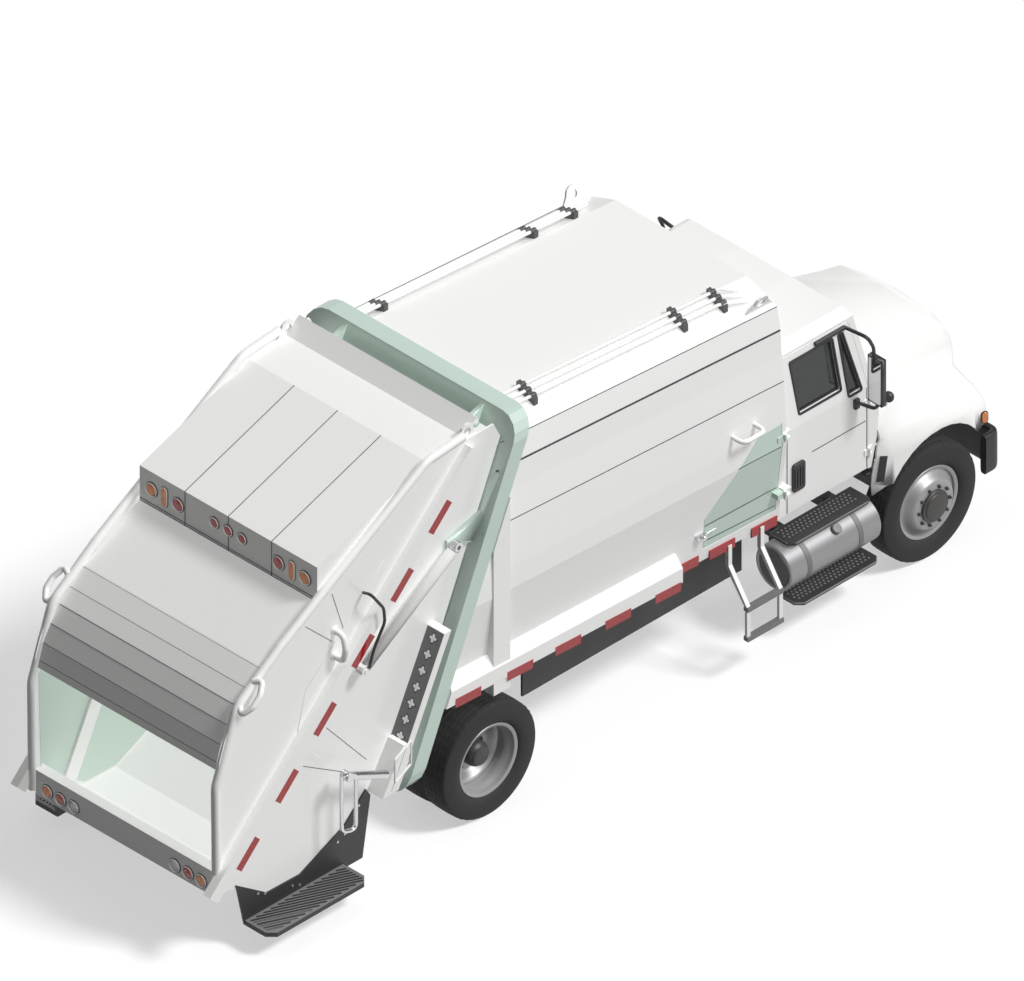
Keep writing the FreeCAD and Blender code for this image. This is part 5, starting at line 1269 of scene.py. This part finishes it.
def makeStage():
    # A pale floor: white to the camera and to gloss, dim to the light that it throws back on the truck.
    size = 60.0
    mesh = bpy.data.meshes.new("floor")
    corners = [(-size, -size, 0), (size, -size, 0), (size, size, 0), (-size, size, 0)]
    mesh.from_pydata(corners, [], [(0, 1, 2, 3)])
    material = bpy.data.materials.new("paleFloor")
    material.use_nodes = True
    tree = material.node_tree
    shader = tree.nodes["Principled BSDF"]
    shader.inputs["Base Color"].default_value = (0.9, 0.9, 0.9, 1)
    shader.inputs["Roughness"].default_value = 0.9
    dim = addNode(tree, "ShaderNodeBsdfDiffuse", {"Color": (0.09, 0.09, 0.09, 1)})
    path = addNode(tree, "ShaderNodeLightPath")
    seen = addNode(tree, "ShaderNodeMath", operation="MAXIMUM")
    mix = addNode(tree, "ShaderNodeMixShader")
    out = tree.nodes["Material Output"]
    tree.links.new(path.outputs["Is Camera Ray"], seen.inputs[0])
    tree.links.new(path.outputs["Is Glossy Ray"], seen.inputs[1])
    tree.links.new(seen.outputs["Value"], mix.inputs["Fac"])
    tree.links.new(dim.outputs["BSDF"], mix.inputs[1])
    tree.links.new(shader.outputs["BSDF"], mix.inputs[2])
    tree.links.new(mix.outputs["Shader"], out.inputs["Surface"])
    mesh.materials.append(material)
    floor = bpy.data.objects.new("floor", mesh)
    bpy.context.scene.collection.objects.link(floor)


def addSun(name, towards, strength, angle, shadow):
    light = bpy.data.lights.new(name, "SUN")
    light.energy = strength
    light.angle = math.radians(angle)
    light.use_shadow = shadow
    sun = bpy.data.objects.new(name, light)
    sun.rotation_euler = Vector(towards).to_track_quat("Z", "Y").to_euler()
    bpy.context.scene.collection.objects.link(sun)


def makeWorld(ambient):
    # An even white surround: full strength to the camera and through glass, ambient strength as light.
    world = bpy.data.worlds.new("studio")
    world.use_nodes = True
    bpy.context.scene.world = world
    tree = world.node_tree
    sky = tree.nodes["Background"]
    sky.inputs["Color"].default_value = (1, 1, 1, 1)
    sky.inputs["Strength"].default_value = ambient
    white = addNode(tree, "ShaderNodeBackground", {"Color": (1, 1, 1, 1), "Strength": 1.0})
    path = addNode(tree, "ShaderNodeLightPath")
    seen = addNode(tree, "ShaderNodeMath", operation="MAXIMUM")
    mix = addNode(tree, "ShaderNodeMixShader")
    tree.links.new(path.outputs["Is Camera Ray"], seen.inputs[0])
    tree.links.new(path.outputs["Is Transmission Ray"], seen.inputs[1])
    tree.links.new(seen.outputs["Value"], mix.inputs["Fac"])
    tree.links.new(sky.outputs["Background"], mix.inputs[1])
    tree.links.new(white.outputs["Background"], mix.inputs[2])
    tree.links.new(mix.outputs["Shader"], tree.nodes["World Output"].inputs["Surface"])


cameraLook = {
    "azimuth": -45.0, "elevation": 35.264, "width": 8.192, "far": 40.0, "target": (-3.2097, 0.3888, 1.5),
}
sunLook = (
    # name, the way to the sun, strength, angle, shadow
    ("keySun", (0.27, -0.56, 0.783), 1.7, 14.0, True), ("fillSun", (0.27, -0.56, 0.783), 2.1, 30.0, False),
    ("leftSun", (0.3, 0.9, 0.2), 0.7, 30.0, False),
)


def makeCamera():
    azimuth, elevation = math.radians(cameraLook["azimuth"]), math.radians(cameraLook["elevation"])
    level = math.cos(elevation)
    ahead = Vector((level * -math.sin(azimuth), level * math.cos(azimuth), -math.sin(elevation)))
    lens = bpy.data.cameras.new("camera")
    lens.type = "ORTHO"
    lens.ortho_scale = cameraLook["width"]
    lens.clip_end = cameraLook["far"] * 3
    camera = bpy.data.objects.new("camera", lens)
    camera.location = Vector(place([cameraLook["target"]])[0]) - ahead * cameraLook["far"]
    camera.rotation_euler = ahead.to_track_quat("-Z", "Y").to_euler()
    bpy.context.scene.collection.objects.link(camera)
    bpy.context.scene.camera = camera


makeStage()
makeWorld(0.13)
for sun in sunLook:
    addSun(*sun)
makeCamera()
bpy.context.scene.view_settings.view_transform = "Standard"
print("stage, lights and camera")
